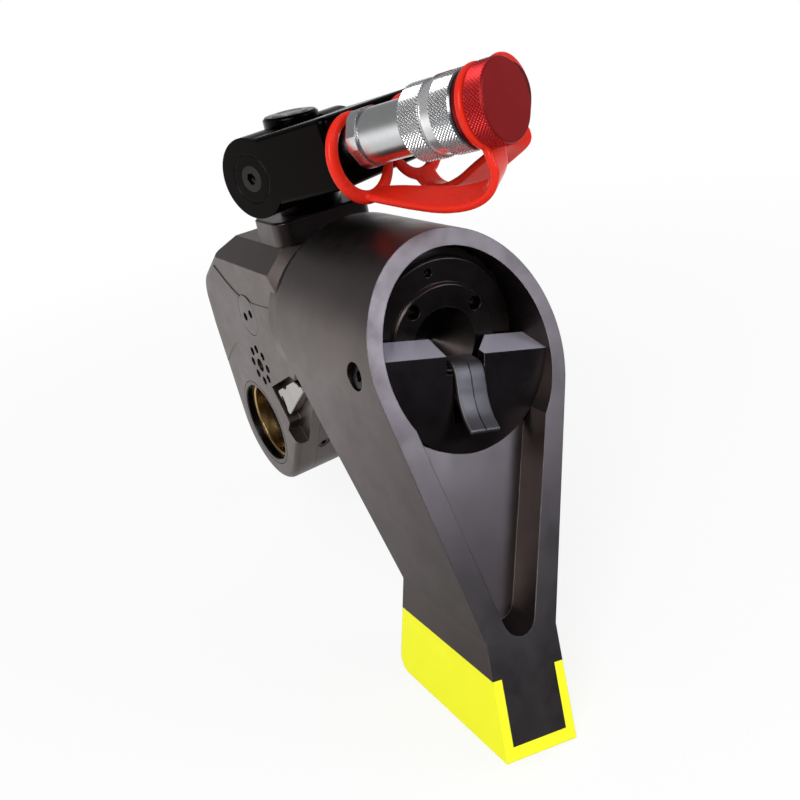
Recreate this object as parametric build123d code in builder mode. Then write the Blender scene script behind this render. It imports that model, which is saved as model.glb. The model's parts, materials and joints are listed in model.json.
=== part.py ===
from build123d import *
from math import sin, cos, acos, atan2, hypot, radians
import os

os.makedirs("parts", exist_ok=True)

# A square drive hydraulic torque wrench. The origin is on the drive axis, in the middle of the housing.
# X runs forward to the nose, Y to the side with the open bush, Z up from the drive to the cylinder.

# Clearances
run_fit = 0.05
slide_fit = 0.1
move_gap = 0.3

# Housing
axis_h = 59.0
half_w = 30.6
top_h = 32.0
top_chamfer = 8.7
nose_r = 29.5
nose_x = 34.5
chin_z = 45.0
brow_r = 16.0
slope_x = -4.0
slope_fall = 0.62
heel_z = 30.0
shoulder_x = -56.0
shoulder_small_r = 34.3
shoulder_big_r = 38.6
shoulder_len = 5.8
edge_r = 3.0
wall = 5.0
pad_h = 0.4
pad_edge = 0.25
pad_inset = 3.4
pad_root = 0.5
pad_upper = ((30, 89.6), (12.6, 79.2), (-0.7, 71.9), (-14, 67.1), (-27.2, 66.3), (-52, 67.8))
pad_lower = ((-52, 47.2), (-44.4, 47.5), (-29.5, 48.5), (-10.5, 46.3), (11.9, 38.1), (27.7, 26.7), (40, 16.7))
rod_head_room = 3.0

# Cylinder barrel with the splines that carry the reaction arm
end_x = -124.0
barrel_end_x = -118.0
barrel_r = 34.9
bore_r = 26.0
bore_past_shoulder = 2.5
bulkhead_t = 11.0
spline_teeth = 22
spline_depth = 1.5
spline_w = 4.6
spline_front_x = -74.0
spline_land = 0.2

# Cylinder end cap
cap_thread_r = 31.0
cap_t = 14.0
cap_edge = 0.8
cap_ring_r = 22.0
cap_ring_h = 1.5
cap_mouth_r = 13.3
cap_floor_r = 0.8
cap_mouth_depth = 8.8
spanner_hole_r = 2.7
spanner_circle_r = 18.5
spanner_depth = 5.0
spanner_turn = 40.0
lock_screw_y = 0.8
lock_screw_z = 26.5
lock_screw_r = 1.6
lock_screw_sink = 2.0

# Ratchet wheel and square drive
cavity_half = 13.3
wheel_half = 7.5
wheel_teeth = 24
wheel_tip_r = 21.5
tooth_depth = 2.6
hub_r = 17.75
hub_half = 16.5
drive_teeth = 16
drive_root_r = 12.8
drive_tip_r = 14.2
square = 25.4
square_len = 27.0
square_pin_r = 3.0
retainer_r = 16.0
retainer_t = 3.0
button_r = 5.0
button_len = 8.0
button_travel = 2.0

# Drive plates
crank_r = 61.0
crank_start = 16.68
crank_swing = 30.0
plate_t = 5.2
plate_side_gap = 0.2
plate_hub_r = 22.5
plate_eye_r = 11.0
rod_pin_r = 5.9

# Piston and rod
piston_t = 18.0
rod_r = 9.0
rod_spigot_r = 7.0
rod_head_half = 7.2
rod_head_r = 10.0
rod_neck_len = 17.0
rod_neck_half_h = 8.0
rod_seal_in = 3.0
seal_w = 4.0
seal_depth = 3.0
rod_seal_depth = 2.5

# Pawls and the release lever
pawl_half = 6.8
pawl_hub_r = 6.0
pawl_pin_r = 3.5
pawl_neck_r = 1.8
pawl_neck_rise = 2.5
pawl_tip_len = 4.0
pawl_tip_h = 1.6
drive_pawl_r = 37.0
drive_pawl_angle = 22.0
drive_tip_angle = -11.3
hold_tip_angle = 18.4
release_x = -32.0
release_z = 20.3
release_shaft_r = 4.0
release_shaft_foot = 20.0
lever_corners = ((-25.8, 24.2), (-47.0, 34.4), (-57.7, 33.6), (-46.0, 24.3), (-33.1, 13.8))
lever_corner_r = 1.2
lever_edge = 0.4
lever_t = 4.6
lever_drop = 0.8
lever_scallops = ((-34.4, 30.6), (-52.6, 36.6))
lever_scallop_r = 3.2
lever_slot_spot = (-30.4, 19.3)
lever_slot_turn = 74.0
lever_slot_len = 4.2
lever_slot_w = 2.6
lever_slot_depth = 1.5
lever_pocket_gap = 2.6
finger_notch = ((-28.5, 5.3), (-42.8, 23.1), (-57.0, 36.0), (-75.0, 10.0), (-36.5, -1.2))

# Bushes and their rings
bush_outer_r = 20.3
bush_ring_h = 3.6
ring_inner_r = 19.2
ring_flange_r = 21.6
ring_flange_t = 1.2
ring_edge = 0.4
bush_edge = 0.6

# Cover over the heel
cover_half = 20.0
cover_up = 36.0
cover_screw_y = 16.3
cover_screw_first = 12.0
cover_screw_last = 30.0
cover_head_r = 2.9
cover_head_t = 2.6
cover_shank_r = 1.5
cover_shank_len = 7.0
cover_edge = 0.4

# Side plug over the rod pin and the breather
side_plug_r = 9.5
side_plug_t = 3.0
side_plug_edge = 0.3
side_plug_hole_r = 1.9
side_plug_hole_circle = 3.6
side_plug_turn = -20.0
vent_x = -15.1
vent_z = 34.3
vent_circle_r = 7.8
vent_holes = 8
vent_hole_r = 2.0
vent_screw_r = 3.2
vent_depth = 3.0
vent_screw_sink = 1.0

# Swivel
swivel_x = -40.5
swivel_base_ahead = 1.0
swivel_base_half = 13.0
swivel_base_half_w = 22.0
swivel_base_h = 10.0
swivel_base_r = 6.0
swivel_base_edge = 0.8
swivel_post_r = 13.0
swivel_post_h = 42.5
swivel_stem_r = 9.0
swivel_stem_depth = 12.0
swivel_cap_r = 11.25
swivel_cap_t = 5.6
pivot_h = 29.2
block_half = 28.0
block_end_r = 15.7
block_len = 45.0
block_low = 12.1
block_high = 14.0
block_edge_r = 2.0
block_corner_r = 3.0
block_side_edge = 0.8
yoke_half = 13.5
yoke_depth = 26.0
trunnion_r = 6.5
trunnion_in = 7.5
plug_r = 9.5
plug_t = 3.0
plug_edge = 0.4
plug_screw_r = 5.0
swivel_turn = 199.8
swivel_tilt = 8.2

# Couplers, measured along the hose axis from the pivot
coupler_n = 15.5
coupler_u = 2.5
thread_r = 7.0
hex_start = 51.5
hex_af = 20.5
hex_end = 56.0
hex_edge = 0.5
neck_groove_w = 0.8
neck_groove_r = 9.0
neck_r = 9.8
neck_end = 98.9
collar_r = 13.2
collar_start = 77.2
collar_end = 99.4
collar_edge = 0.7
collar_groove_start = 86.5
collar_groove_end = 90.7
collar_groove_depth = 1.0
cap_r = 13.7
cap_edge_r = 0.8
cap_start = 105.0
cap_end = 112.5
cap_flange_r = 12.3
cap_flange_start = 99.7
cap_flange_end = 101.5
cap_stem_r = 9.2
nipple_end = 88.0
sleeve_cap_r = 13.0
sleeve_cap_start = 66.0
sleeve_cap_end = 91.0
end_disc_r = 10.3
end_disc_start = 94.6
end_disc_end = 96.2

# Rubber tethers, and the way of each strap along the hose axis and up from it
tether_t = 3.0
neck_ring_t = 3.5
neck_ring_r = 15.5
neck_ring_bore_r = 12.4
cap_ring_outer_r = 13.9
cap_ring_gap = 0.2
strap_w = 12.0
advance_strap = (
    (46.8, -16.8), (56, -18.9), (68, -23.6), (80, -26.9), (91, -27),
    (98.5, -24.3), (102.6, -19), (103.2, -14), (103.2, -9.6),
)
return_strap = (
    (46.8, -16.8), (50.5, -22.6), (58, -25.4), (67, -24.4), (77, -20.4),
    (86, -16.8), (91.4, -14.6), (92.8, -12.4), (92.8, -9.8),
)

# Reaction arm, set one spline tooth round from upright
sleeve_wall = 6.0
sleeve_rim = 8.0
blank_past = 1.0
sleeve_front = 54.0
arm_spline_front = 48.0
arm_spline_rear = 12.0
rear_slope = 0.45
rear_offset = -18.0
neck_half = 15.0
neck_z = -87.0
foot_z = -122.5
shin_x = -6.4
shin_z = -86.5
sleeve_low_z = -5.0
toe_x = -8.3
toe_r = 6.0
pocket_depth = 12.0
pocket_toe_r = 7.0
pocket_toe_z = -81.0
shoe_z = -98.5
shoe_wall = 3.7
shoe_sole = 4.0
half_plate_t = 16.0
half_plate_top = 2.5
half_plate_fall = 3.3
half_plate_foot = 5.5
notch_depth = 7.0
notch_front = (-20.4, 7.0)
notch_rear = (-2.2, 9.5)
arm_screw_x = -8.0
arm_screw_z = -7.0
arm_screw_head_r = 4.3
arm_screw_r = 2.4
arm_screw_recess_r = 5.0
arm_screw_floor = 0.6
arm_screw_head_t = 3.0
arm_screw_socket = 2.0
arm_screw_len = 16.0
latch_half_w = 6.25
latch_t = 1.8
latch_bend_r = 4.0
latch_slot_gap = 0.5
latch_pin_r = 1.5
latch_pin_x = -8.0
latch_pin_z = -6.0
latch_pin_past = 3.0
latch_path = ((latch_pin_x, latch_pin_z), (-15.5, -3.4), (-20.5, -15.0), (-29.0, -24.8))
latch_slot = ((-4.5, 3.0), (-23.0, 3.0), (-23.0, -26.0), (-13.0, -20.0), (-4.5, -10.0))

# Places that several pieces share
top_z = axis_h + top_h
rod_pin_x = -sin(radians(crank_start)) * crank_r
rod_pin_z = cos(radians(crank_start)) * crank_r
stroke = crank_r * (sin(radians(crank_swing - crank_start)) + sin(radians(crank_start)))
bore_end_x = shoulder_x - bore_past_shoulder
bulkhead_x = bore_end_x + bulkhead_t
cap_front_x = end_x + cap_t
piston_x = cap_front_x + move_gap
piston_front_x = piston_x + piston_t
plate_in = wheel_half + plate_side_gap
plate_out = plate_in + plate_t
side_y = half_w + pad_h
bush_end_y = half_w - bush_ring_h
cavity_top_z = max(crank_r + rod_head_r, axis_h + rod_neck_half_h) + rod_head_room
sleeve_bore_r = barrel_r + slide_fit
sleeve_r = sleeve_bore_r + sleeve_wall
pocket_top_r = sleeve_r - sleeve_rim
arm_screw_seat = sleeve_bore_r + arm_screw_floor
bush_bore_r = hub_r + run_fit
lever_out_y = half_w - lever_drop
lever_in_y = lever_out_y - lever_t
pocket_y = lever_in_y - move_gap
pivot_z = top_z + pivot_h
ring_drop = neck_ring_bore_r - thread_r - slide_fit
cylinder_axis = Axis((0, 0, axis_h), (1, 0, 0))
arm_turn = 360.0 / spline_teeth
arm_y_axis = Vector(0, cos(radians(arm_turn)), sin(radians(arm_turn)))
arm_z_axis = Vector(0, -sin(radians(arm_turn)), cos(radians(arm_turn)))

# The heel is the flat that runs from the shoulder down to the round drive end
heel_angle = atan2(heel_z, shoulder_x) + acos(nose_r / hypot(heel_z, shoulder_x))
heel_out = Vector(cos(heel_angle), 0, sin(heel_angle))
heel_up = Vector(sin(heel_angle), 0, -cos(heel_angle))
heel_foot = heel_out * nose_r

# Directions of the swivel block: along the couplers, across to the bush side, and up from its top face
turn = radians(swivel_turn)
tilt = radians(swivel_tilt)
block_d = Vector(cos(tilt) * cos(turn), cos(tilt) * sin(turn), sin(tilt))
block_n = Vector(sin(turn), -cos(turn), 0)
block_u = Vector(-sin(tilt) * cos(turn), -sin(tilt) * sin(turn), cos(tilt))
block_pivot = Vector(swivel_x, 0, pivot_z)


def at_y(y):
    """Plane across the drive axis at one Y; what is extruded from it grows away from the bush side."""
    return Plane(origin=(0, y, 0), x_dir=(1, 0, 0), z_dir=(0, -1, 0))


def at_x(x):
    """Plane across the cylinder axis at one X, growing forward."""
    return Plane(origin=(x, 0, axis_h), x_dir=(0, 1, 0), z_dir=(1, 0, 0))


def at_z(z):
    """Level plane over the swivel axis, growing upward."""
    return Plane(origin=(swivel_x, 0, z))


def arm_section(x):
    """Plane across the cylinder axis, turned with the arm; x is counted forward from the barrel end."""
    return Plane(origin=(end_x + x, 0, axis_h), x_dir=arm_y_axis, z_dir=(1, 0, 0))


def arm_side(y):
    """Plane along the arm at one distance from its middle, growing away from the bush side."""
    origin = Vector(end_x, 0, axis_h) + arm_y_axis * y
    return Plane(origin=origin, x_dir=(1, 0, 0), z_dir=-arm_y_axis)


def block_side(n):
    """Plane of the swivel block's side view at one distance across it, growing to the bush side."""
    origin = block_pivot + block_n * n
    return Plane(origin=origin, x_dir=block_d, z_dir=block_n)


def coupler_section(side, along):
    """Plane across one coupler, growing towards its cap."""
    origin = block_pivot + block_n * (side * coupler_n) + block_d * along + block_u * coupler_u
    return Plane(origin=origin, x_dir=-block_n, z_dir=block_d)


def wheel_point(angle, radius):
    """A point round the drive axis; the angle is counted from straight up towards the rear."""
    return (-sin(radians(angle)) * radius, cos(radians(angle)) * radius)


def square_teeth(count, root, tip, share):
    """Outline of square teeth on a circle; share is the part of the pitch that a tooth fills."""
    points = []
    pitch = 360.0 / count
    for tooth in range(count):
        half = pitch * share / 2
        for radius, offset in ((root, -half), (tip, -half), (tip, half), (root, half)):
            points.append(wheel_point(tooth * pitch + offset, radius))
    return points


def saw_teeth(count, root, tip):
    """Outline of the ratchet teeth; the steep faces look back, so a pawl behind one pushes it forward."""
    points = []
    pitch = 360.0 / count
    for tooth in range(count):
        start = tooth * pitch
        points.append(wheel_point(start, tip))
        points.append(wheel_point(start + 0.08 * pitch, root))
        points.append(wheel_point(start + 0.42 * pitch, root))
        points.append(wheel_point(start + 0.88 * pitch, tip))
    return points


def save(builder, name):
    """Label a finished piece and write it to its own file."""
    builder.part.label = name
    export_step(builder.part, f"parts/{name}.step")


def housing_outline():
    """Side outline of the housing, drawn into the sketch that is open."""
    Circle(nose_r)
    front_z = top_z - slope_fall * (nose_x - slope_x)
    Polygon(
        (shoulder_x, heel_z),
        (shoulder_x, top_z),
        (slope_x, top_z),
        (nose_x, front_z),
        (nose_x, chin_z),
        align=None,
    )
    make_hull()


def brow(sketch):
    """The corner between the nose and the slope above it."""
    return sketch.vertices().sort_by(Axis.X)[-2:].sort_by(Axis.Y)[-1]


def cover_zone():
    """Area of the side view that the heel cover takes, drawn into the sketch that is open."""
    upper = heel_foot + heel_up * cover_up
    outside = upper + heel_out * (2 * wall)
    inside = upper - heel_out * (2 * wall)
    Polygon(
        (outside.X, outside.Z),
        (inside.X, inside.Z),
        (0, 0),
        (0, -2 * nose_r),
        (outside.X, -2 * nose_r),
        align=None,
    )


def cover_screw_planes(height):
    """Planes on the heel at the cover's screws, looking outward, height above the heel."""
    planes = []
    for up in (cover_screw_first, cover_screw_last):
        for y in (cover_screw_y, -cover_screw_y):
            spot = heel_foot + heel_up * up + heel_out * height + Vector(0, y, 0)
            planes.append(Plane(origin=spot, x_dir=(0, 1, 0), z_dir=heel_out))
    return planes


def base_outline(gap):
    """Outline of the swivel's base with a gap round it, drawn into the sketch that is open."""
    with Locations((swivel_base_ahead, 0)):
        RectangleRounded(
            2 * (swivel_base_half + gap), 2 * (swivel_base_half_w + gap), swivel_base_r + gap
        )


def pad_zone():
    """Area of a side's low pad, drawn into the sketch that is open."""
    with BuildLine() as border:
        upper = Spline(*pad_upper)
        lower = Spline(*pad_lower)
        Line(upper @ 1, lower @ 0)
        Line(lower @ 1, upper @ 0)
    make_face(border.edges())


# Inner outline of the housing wall, and the part of it that is hollow for the drive train
with BuildSketch(Plane.XZ) as inner_outline:
    housing_outline()
    fillet(brow(inner_outline), brow_r)
    offset(amount=-wall)

with BuildSketch(Plane.XZ) as cover_outline:
    housing_outline()
    fillet(brow(cover_outline), brow_r)
    add(inner_outline.sketch_local, mode=Mode.SUBTRACT)
    with BuildSketch(Plane.XY, mode=Mode.INTERSECT):
        cover_zone()

# Housing: body, turned shoulder and splined barrel in one piece
with BuildPart() as housing:
    with BuildSketch(Plane.XZ) as side_outline:
        housing_outline()
        fillet(brow(side_outline), brow_r)
    extrude(amount=half_w, both=True)
    chamfer(housing.edges().filter_by(Axis.X).group_by(Axis.Z)[-1], top_chamfer)
    side_edges = ShapeList()
    for side_face in housing.faces().filter_by(Axis.Y):
        side_edges.extend(side_face.edges())
    low_chamfer_z = top_z - top_chamfer
    soft_edges = side_edges.filter_by(
        lambda edge: edge.center().X > shoulder_x + 1 and edge.center().Z < low_chamfer_z - 1
    )
    fillet(soft_edges, edge_r)

    # Low pads on both sides, from the shoulder past the rod pin plug to the nose
    for pad_plane, direction in ((at_y(-half_w + pad_root), 1), (at_y(half_w - pad_root), -1)):
        with BuildSketch(pad_plane) as pad_sketch:
            housing_outline()
            fillet(brow(pad_sketch), brow_r)
            offset(amount=-pad_inset)
            with BuildSketch(Plane.XY, mode=Mode.INTERSECT):
                pad_zone()
        extrude(amount=direction * (pad_h + pad_root))
    for pad_face in (housing.faces().sort_by(Axis.Y)[0], housing.faces().sort_by(Axis.Y)[-1]):
        chamfer(pad_face.edges(), pad_edge)

    # Shoulder, turned about the cylinder axis
    with BuildSketch(Plane.XZ):
        back = 1.0
        rise = (shoulder_big_r - shoulder_small_r) / shoulder_len
        Polygon(
            (shoulder_x - back, axis_h + shoulder_small_r - rise * back),
            (shoulder_x + shoulder_len, axis_h + shoulder_big_r),
            (shoulder_x + shoulder_len, axis_h + 4 * nose_r),
            (shoulder_x - back, axis_h + 4 * nose_r),
            align=None,
        )
    revolve(axis=cylinder_axis, mode=Mode.SUBTRACT)

    # Barrel and its splines
    with BuildSketch(at_x(barrel_end_x)):
        Circle(barrel_r)
    extrude(amount=shoulder_x + shoulder_len - barrel_end_x)
    rear_rim = housing.edges().filter_by(GeomType.CIRCLE).sort_by(Axis.X)[0]
    chamfer(rear_rim, 1.0)
    with BuildSketch(at_x(barrel_end_x)):
        with PolarLocations(barrel_r, spline_teeth):
            Rectangle(2 * spline_depth, spline_w)
    extrude(amount=spline_front_x - barrel_end_x, mode=Mode.SUBTRACT)

    # Cylinder bore, end cap thread, rod hole and rod seal groove
    with BuildSketch(at_x(end_x)):
        Circle(bore_r)
    extrude(amount=bore_end_x - end_x, mode=Mode.SUBTRACT)
    with BuildSketch(at_x(end_x)):
        Circle(cap_thread_r)
    extrude(amount=cap_t, mode=Mode.SUBTRACT)
    with BuildSketch(at_x(bore_end_x)):
        Circle(rod_r + run_fit)
    extrude(amount=bulkhead_t, mode=Mode.SUBTRACT)
    with BuildSketch(at_x(bore_end_x + rod_seal_in)):
        Circle(rod_r + run_fit + rod_seal_depth)
    extrude(amount=seal_w, mode=Mode.SUBTRACT)

    # Hollow for the drive train, open at the heel under the cover
    with BuildSketch(Plane.XZ):
        add(inner_outline.sketch_local)
        with BuildSketch(Plane.XY, mode=Mode.INTERSECT):
            with Locations(((bulkhead_x + nose_x) / 2, cavity_top_z)):
                Rectangle(nose_x - bulkhead_x, 6 * nose_r, align=(Align.CENTER, Align.MAX))
    extrude(amount=cavity_half, both=True, mode=Mode.SUBTRACT)
    with BuildSketch(Plane.XZ):
        add(cover_outline.sketch_local)
    extrude(amount=cover_half, both=True, mode=Mode.SUBTRACT)

    # Bush bores through both walls, with the ring flange let into each side
    with BuildSketch(at_y(half_w)):
        Circle(bush_outer_r)
    extrude(amount=2 * half_w, mode=Mode.SUBTRACT)
    for ring_plane in (at_y(half_w), at_y(-half_w + ring_flange_t)):
        with BuildSketch(ring_plane):
            Circle(ring_flange_r)
        extrude(amount=ring_flange_t, mode=Mode.SUBTRACT)

    # Seat for the swivel's base, and the bore for its stem
    with BuildSketch(at_z(top_z)):
        base_outline(slide_fit)
    extrude(amount=top_h, mode=Mode.SUBTRACT)
    with BuildSketch(at_z(top_z - swivel_stem_depth - move_gap)):
        Circle(swivel_stem_r + run_fit)
    extrude(amount=top_h, mode=Mode.SUBTRACT)

    # Pocket for the release lever, open to the heel, its shaft bore and the finger notch below it
    with BuildSketch(at_y(side_y)):
        Polygon(*lever_corners, align=None)
        offset(amount=lever_pocket_gap, kind=Kind.INTERSECTION)
        Polygon(*finger_notch, align=None)
    extrude(amount=side_y - pocket_y, mode=Mode.SUBTRACT)
    with BuildSketch(at_y(side_y)):
        with Locations((release_x, release_z)):
            Circle(release_shaft_r + run_fit)
    extrude(amount=side_y + release_shaft_foot + move_gap, mode=Mode.SUBTRACT)

    # Side plug seats and the breather holes
    for plug_plane in (at_y(side_y), at_y(-side_y + side_plug_t)):
        with BuildSketch(plug_plane):
            with Locations((rod_pin_x, axis_h)):
                Circle(side_plug_r)
        extrude(amount=side_plug_t, mode=Mode.SUBTRACT)
    with BuildSketch(at_y(half_w)):
        with Locations((vent_x, vent_z)):
            Circle(vent_screw_r)
            with PolarLocations(vent_circle_r, vent_holes):
                Circle(vent_hole_r)
    extrude(amount=vent_depth, mode=Mode.SUBTRACT)

    # Threads of the cover screws
    for screw_plane in cover_screw_planes(-wall):
        with BuildSketch(screw_plane):
            Circle(cover_shank_r)
        extrude(amount=-(cover_shank_len - wall + cover_head_t + 1), mode=Mode.SUBTRACT)
save(housing, "housing")


# Cover over the heel, and its screws
with BuildPart() as heel_cover:
    with BuildSketch(Plane.XZ):
        add(cover_outline.sketch_local)
    extrude(amount=cover_half, both=True)
    for side_face in heel_cover.faces().filter_by(Axis.Y):
        chamfer(side_face.edges(), cover_edge)
    for screw_plane in cover_screw_planes(0):
        with BuildSketch(screw_plane):
            Circle(cover_shank_r)
        extrude(amount=-wall, mode=Mode.SUBTRACT)
        with BuildSketch(screw_plane):
            Circle(cover_head_r + slide_fit)
        extrude(amount=-cover_head_t, mode=Mode.SUBTRACT)
save(heel_cover, "heel_cover")

with BuildPart() as cover_screws:
    for screw_plane in cover_screw_planes(-cover_head_t):
        with BuildSketch(screw_plane):
            Circle(cover_head_r)
        extrude(amount=cover_head_t - move_gap)
        with BuildSketch(screw_plane):
            Circle(cover_shank_r)
        extrude(amount=-cover_shank_len)
    for screw_plane in cover_screw_planes(-move_gap):
        with BuildSketch(screw_plane):
            RegularPolygon(cover_shank_r, 6)
        extrude(amount=-cover_shank_r, mode=Mode.SUBTRACT)
save(cover_screws, "cover_screws")

# Bronze bushes in both walls, and the steel rings outside them
for side, bush_name in ((1, "left_bush"), (-1, "right_bush")):
    ring_name = bush_name + "_ring"
    with BuildPart() as bush:
        with BuildSketch(at_y(side * bush_end_y)):
            Circle(bush_outer_r)
            Circle(bush_bore_r, mode=Mode.SUBTRACT)
        extrude(amount=side * (bush_end_y - cavity_half))
        outer_mouth = bush.edges().filter_by(GeomType.CIRCLE).group_by(SortBy.RADIUS)[0]
        chamfer(outer_mouth, bush_edge)
    save(bush, bush_name)

    with BuildPart() as bush_ring:
        with BuildSketch(at_y(side * half_w)):
            Circle(ring_flange_r)
        extrude(amount=side * ring_flange_t)
        with BuildSketch(at_y(side * half_w)):
            Circle(bush_outer_r)
        extrude(amount=side * (half_w - bush_end_y))
        with BuildSketch(at_y(side * half_w)):
            Circle(ring_inner_r)
        extrude(amount=side * half_w, mode=Mode.SUBTRACT)
        outer_rims = bush_ring.faces().sort_by(Axis.Y)[-1 if side > 0 else 0].edges()
        chamfer(outer_rims, ring_edge)
    save(bush_ring, ring_name)

# Cylinder end cap: threaded disc, raised ring with a coned mouth, and spanner holes
with BuildPart() as end_cap:
    with BuildSketch(at_x(end_x)):
        Circle(cap_thread_r)
    extrude(amount=cap_t)
    disc_rim = end_cap.edges().filter_by(GeomType.CIRCLE).sort_by(Axis.X)[0]
    chamfer(disc_rim, cap_edge)
    with BuildSketch(at_x(end_x)):
        Circle(cap_ring_r)
    extrude(amount=-cap_ring_h)
    ring_rim = end_cap.edges().filter_by(GeomType.CIRCLE).sort_by(Axis.X)[0]
    chamfer(ring_rim, 0.5 * cap_ring_h)
    with BuildSketch(Plane.XZ):
        Polygon(
            (end_x - cap_ring_h, axis_h),
            (end_x - cap_ring_h, axis_h + cap_mouth_r),
            (end_x - cap_ring_h + cap_mouth_depth, axis_h + cap_floor_r),
            (end_x - cap_ring_h + cap_mouth_depth, axis_h),
            align=None,
        )
    revolve(axis=cylinder_axis, mode=Mode.SUBTRACT)
    with BuildSketch(arm_section(-cap_ring_h)):
        with PolarLocations(spanner_circle_r, 4, start_angle=spanner_turn):
            Circle(spanner_hole_r)
    extrude(amount=spanner_depth, mode=Mode.SUBTRACT)
    with BuildSketch(at_x(end_x)):
        with Locations((lock_screw_y, lock_screw_z)):
            Circle(lock_screw_r)
    extrude(amount=spanner_depth, mode=Mode.SUBTRACT)
save(end_cap, "end_cap")

with BuildPart() as lock_screw:
    with BuildSketch(at_x(end_x + spanner_depth)):
        with Locations((lock_screw_y, lock_screw_z)):
            Circle(lock_screw_r)
    extrude(amount=-(spanner_depth - lock_screw_sink))
    with BuildSketch(at_x(end_x + lock_screw_sink)):
        with Locations((lock_screw_y, lock_screw_z)):
            RegularPolygon(0.5 * lock_screw_r, 6)
    extrude(amount=lock_screw_r, mode=Mode.SUBTRACT)
save(lock_screw, "end_cap_lock_screw")

# Piston, its seal, the rod and the rod seal
with BuildPart() as piston:
    with BuildSketch(at_x(piston_x)):
        Circle(bore_r - run_fit)
    extrude(amount=piston_t)
    rims = piston.edges().filter_by(GeomType.CIRCLE)
    chamfer(rims, 0.8)
    with BuildSketch(at_x(piston_x + piston_t / 2 - seal_w / 2)):
        Circle(bore_r)
        Circle(bore_r - seal_depth, mode=Mode.SUBTRACT)
    extrude(amount=seal_w, mode=Mode.SUBTRACT)
    with BuildSketch(at_x(piston_x)):
        Circle(rod_spigot_r)
    extrude(amount=piston_t, mode=Mode.SUBTRACT)
save(piston, "piston")

with BuildPart() as piston_seal:
    with BuildSketch(at_x(piston_x + piston_t / 2 - seal_w / 2)):
        Circle(bore_r - run_fit)
        Circle(bore_r - seal_depth, mode=Mode.SUBTRACT)
    extrude(amount=seal_w)
save(piston_seal, "piston_seal")

with BuildPart() as piston_rod:
    with BuildSketch(at_x(piston_x)):
        Circle(rod_spigot_r)
    extrude(amount=piston_t)
    with BuildSketch(at_x(piston_front_x)):
        Circle(rod_r)
    extrude(amount=rod_pin_x - rod_neck_len - piston_front_x)
    # Flat neck between the plates; its eye is tall, because the pin rises and falls as the rod runs straight
    low_z = min(rod_pin_z, crank_r * cos(radians(crank_swing - crank_start)))
    with BuildSketch(at_y(rod_head_half)):
        with Locations((rod_pin_x, low_z), (rod_pin_x, crank_r)):
            Circle(rod_head_r)
        make_hull()
        with Locations((rod_pin_x, axis_h)):
            Rectangle(rod_neck_len, 2 * rod_neck_half_h, align=(Align.MAX, Align.CENTER))
    extrude(amount=2 * rod_head_half)
    with BuildSketch(at_y(rod_head_half)):
        with Locations((rod_pin_x, low_z), (rod_pin_x, crank_r)):
            Circle(rod_pin_r + move_gap)
        make_hull()
    extrude(amount=2 * rod_head_half, mode=Mode.SUBTRACT)
save(piston_rod, "piston_rod")

with BuildPart() as rod_seal:
    with BuildSketch(at_x(bore_end_x + rod_seal_in)):
        Circle(rod_r + run_fit + rod_seal_depth)
        Circle(rod_r + run_fit, mode=Mode.SUBTRACT)
    extrude(amount=seal_w)
save(rod_seal, "rod_seal")

# Drive plates on both sides of the ratchet wheel, with the rod pin and the drive pawl's pin
drive_pawl_spot = wheel_point(drive_pawl_angle, drive_pawl_r)
for plate_y, plate_name in ((plate_out, "left_drive_plate"), (-plate_in, "right_drive_plate")):
    with BuildPart() as drive_plate:
        with BuildSketch(at_y(plate_y)) as plate_sketch:
            Circle(plate_hub_r)
            with Locations((rod_pin_x, rod_pin_z)):
                Circle(plate_eye_r)
            make_hull()
            Circle(bush_bore_r, mode=Mode.SUBTRACT)
            with Locations((rod_pin_x, rod_pin_z)):
                Circle(rod_pin_r, mode=Mode.SUBTRACT)
            with Locations(drive_pawl_spot):
                Circle(pawl_pin_r, mode=Mode.SUBTRACT)
        extrude(amount=plate_t)
    save(drive_plate, plate_name)

for spot, pin_radius, pin_name in (
    ((rod_pin_x, rod_pin_z), rod_pin_r, "rod_pin"),
    (drive_pawl_spot, pawl_pin_r, "drive_pawl_pin"),
):
    with BuildPart() as pin:
        with BuildSketch(at_y(plate_out)):
            with Locations(spot):
                Circle(pin_radius)
        extrude(amount=2 * plate_out)
        chamfer(pin.edges().filter_by(GeomType.CIRCLE), 0.4)
    save(pin, pin_name)


def pawl_outline(pivot, tip_angle):
    """Side view of a pawl from its hub to a tip that stands just clear of the wheel."""
    tip = Vector(*wheel_point(tip_angle, wheel_tip_r + move_gap))
    hub = Vector(*pivot)
    along = (tip - hub).normalized()
    above = Vector(-along.Y, along.X)
    neck = tip - along * pawl_tip_len + above * pawl_neck_rise
    with Locations(hub):
        Circle(pawl_hub_r)
    with Locations(neck):
        Circle(pawl_neck_r)
    make_hull()
    Polygon(
        tuple(tip)[:2],
        tuple(tip + above * pawl_tip_h)[:2],
        tuple(neck + above * pawl_neck_r)[:2],
        tuple(neck - above * pawl_neck_r)[:2],
        align=None,
    )


# Drive pawl, carried between the plates
with BuildPart() as drive_pawl:
    with BuildSketch(at_y(pawl_half)):
        pawl_outline(drive_pawl_spot, drive_tip_angle)
        with Locations(drive_pawl_spot):
            Circle(pawl_pin_r + run_fit, mode=Mode.SUBTRACT)
    extrude(amount=2 * pawl_half)
save(drive_pawl, "drive_pawl")

# Holding pawl on the shaft of the release lever
with BuildPart() as holding_pawl:
    with BuildSketch(at_y(pawl_half)):
        pawl_outline((release_x, release_z), hold_tip_angle)
        with Locations((release_x, release_z)):
            Circle(release_shaft_r, mode=Mode.SUBTRACT)
    extrude(amount=2 * pawl_half)
save(holding_pawl, "holding_pawl")

with BuildPart() as release_shaft:
    with BuildSketch(at_y(lever_in_y)):
        with Locations((release_x, release_z)):
            Circle(release_shaft_r)
    extrude(amount=lever_in_y + release_shaft_foot)
save(release_shaft, "release_shaft")

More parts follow.
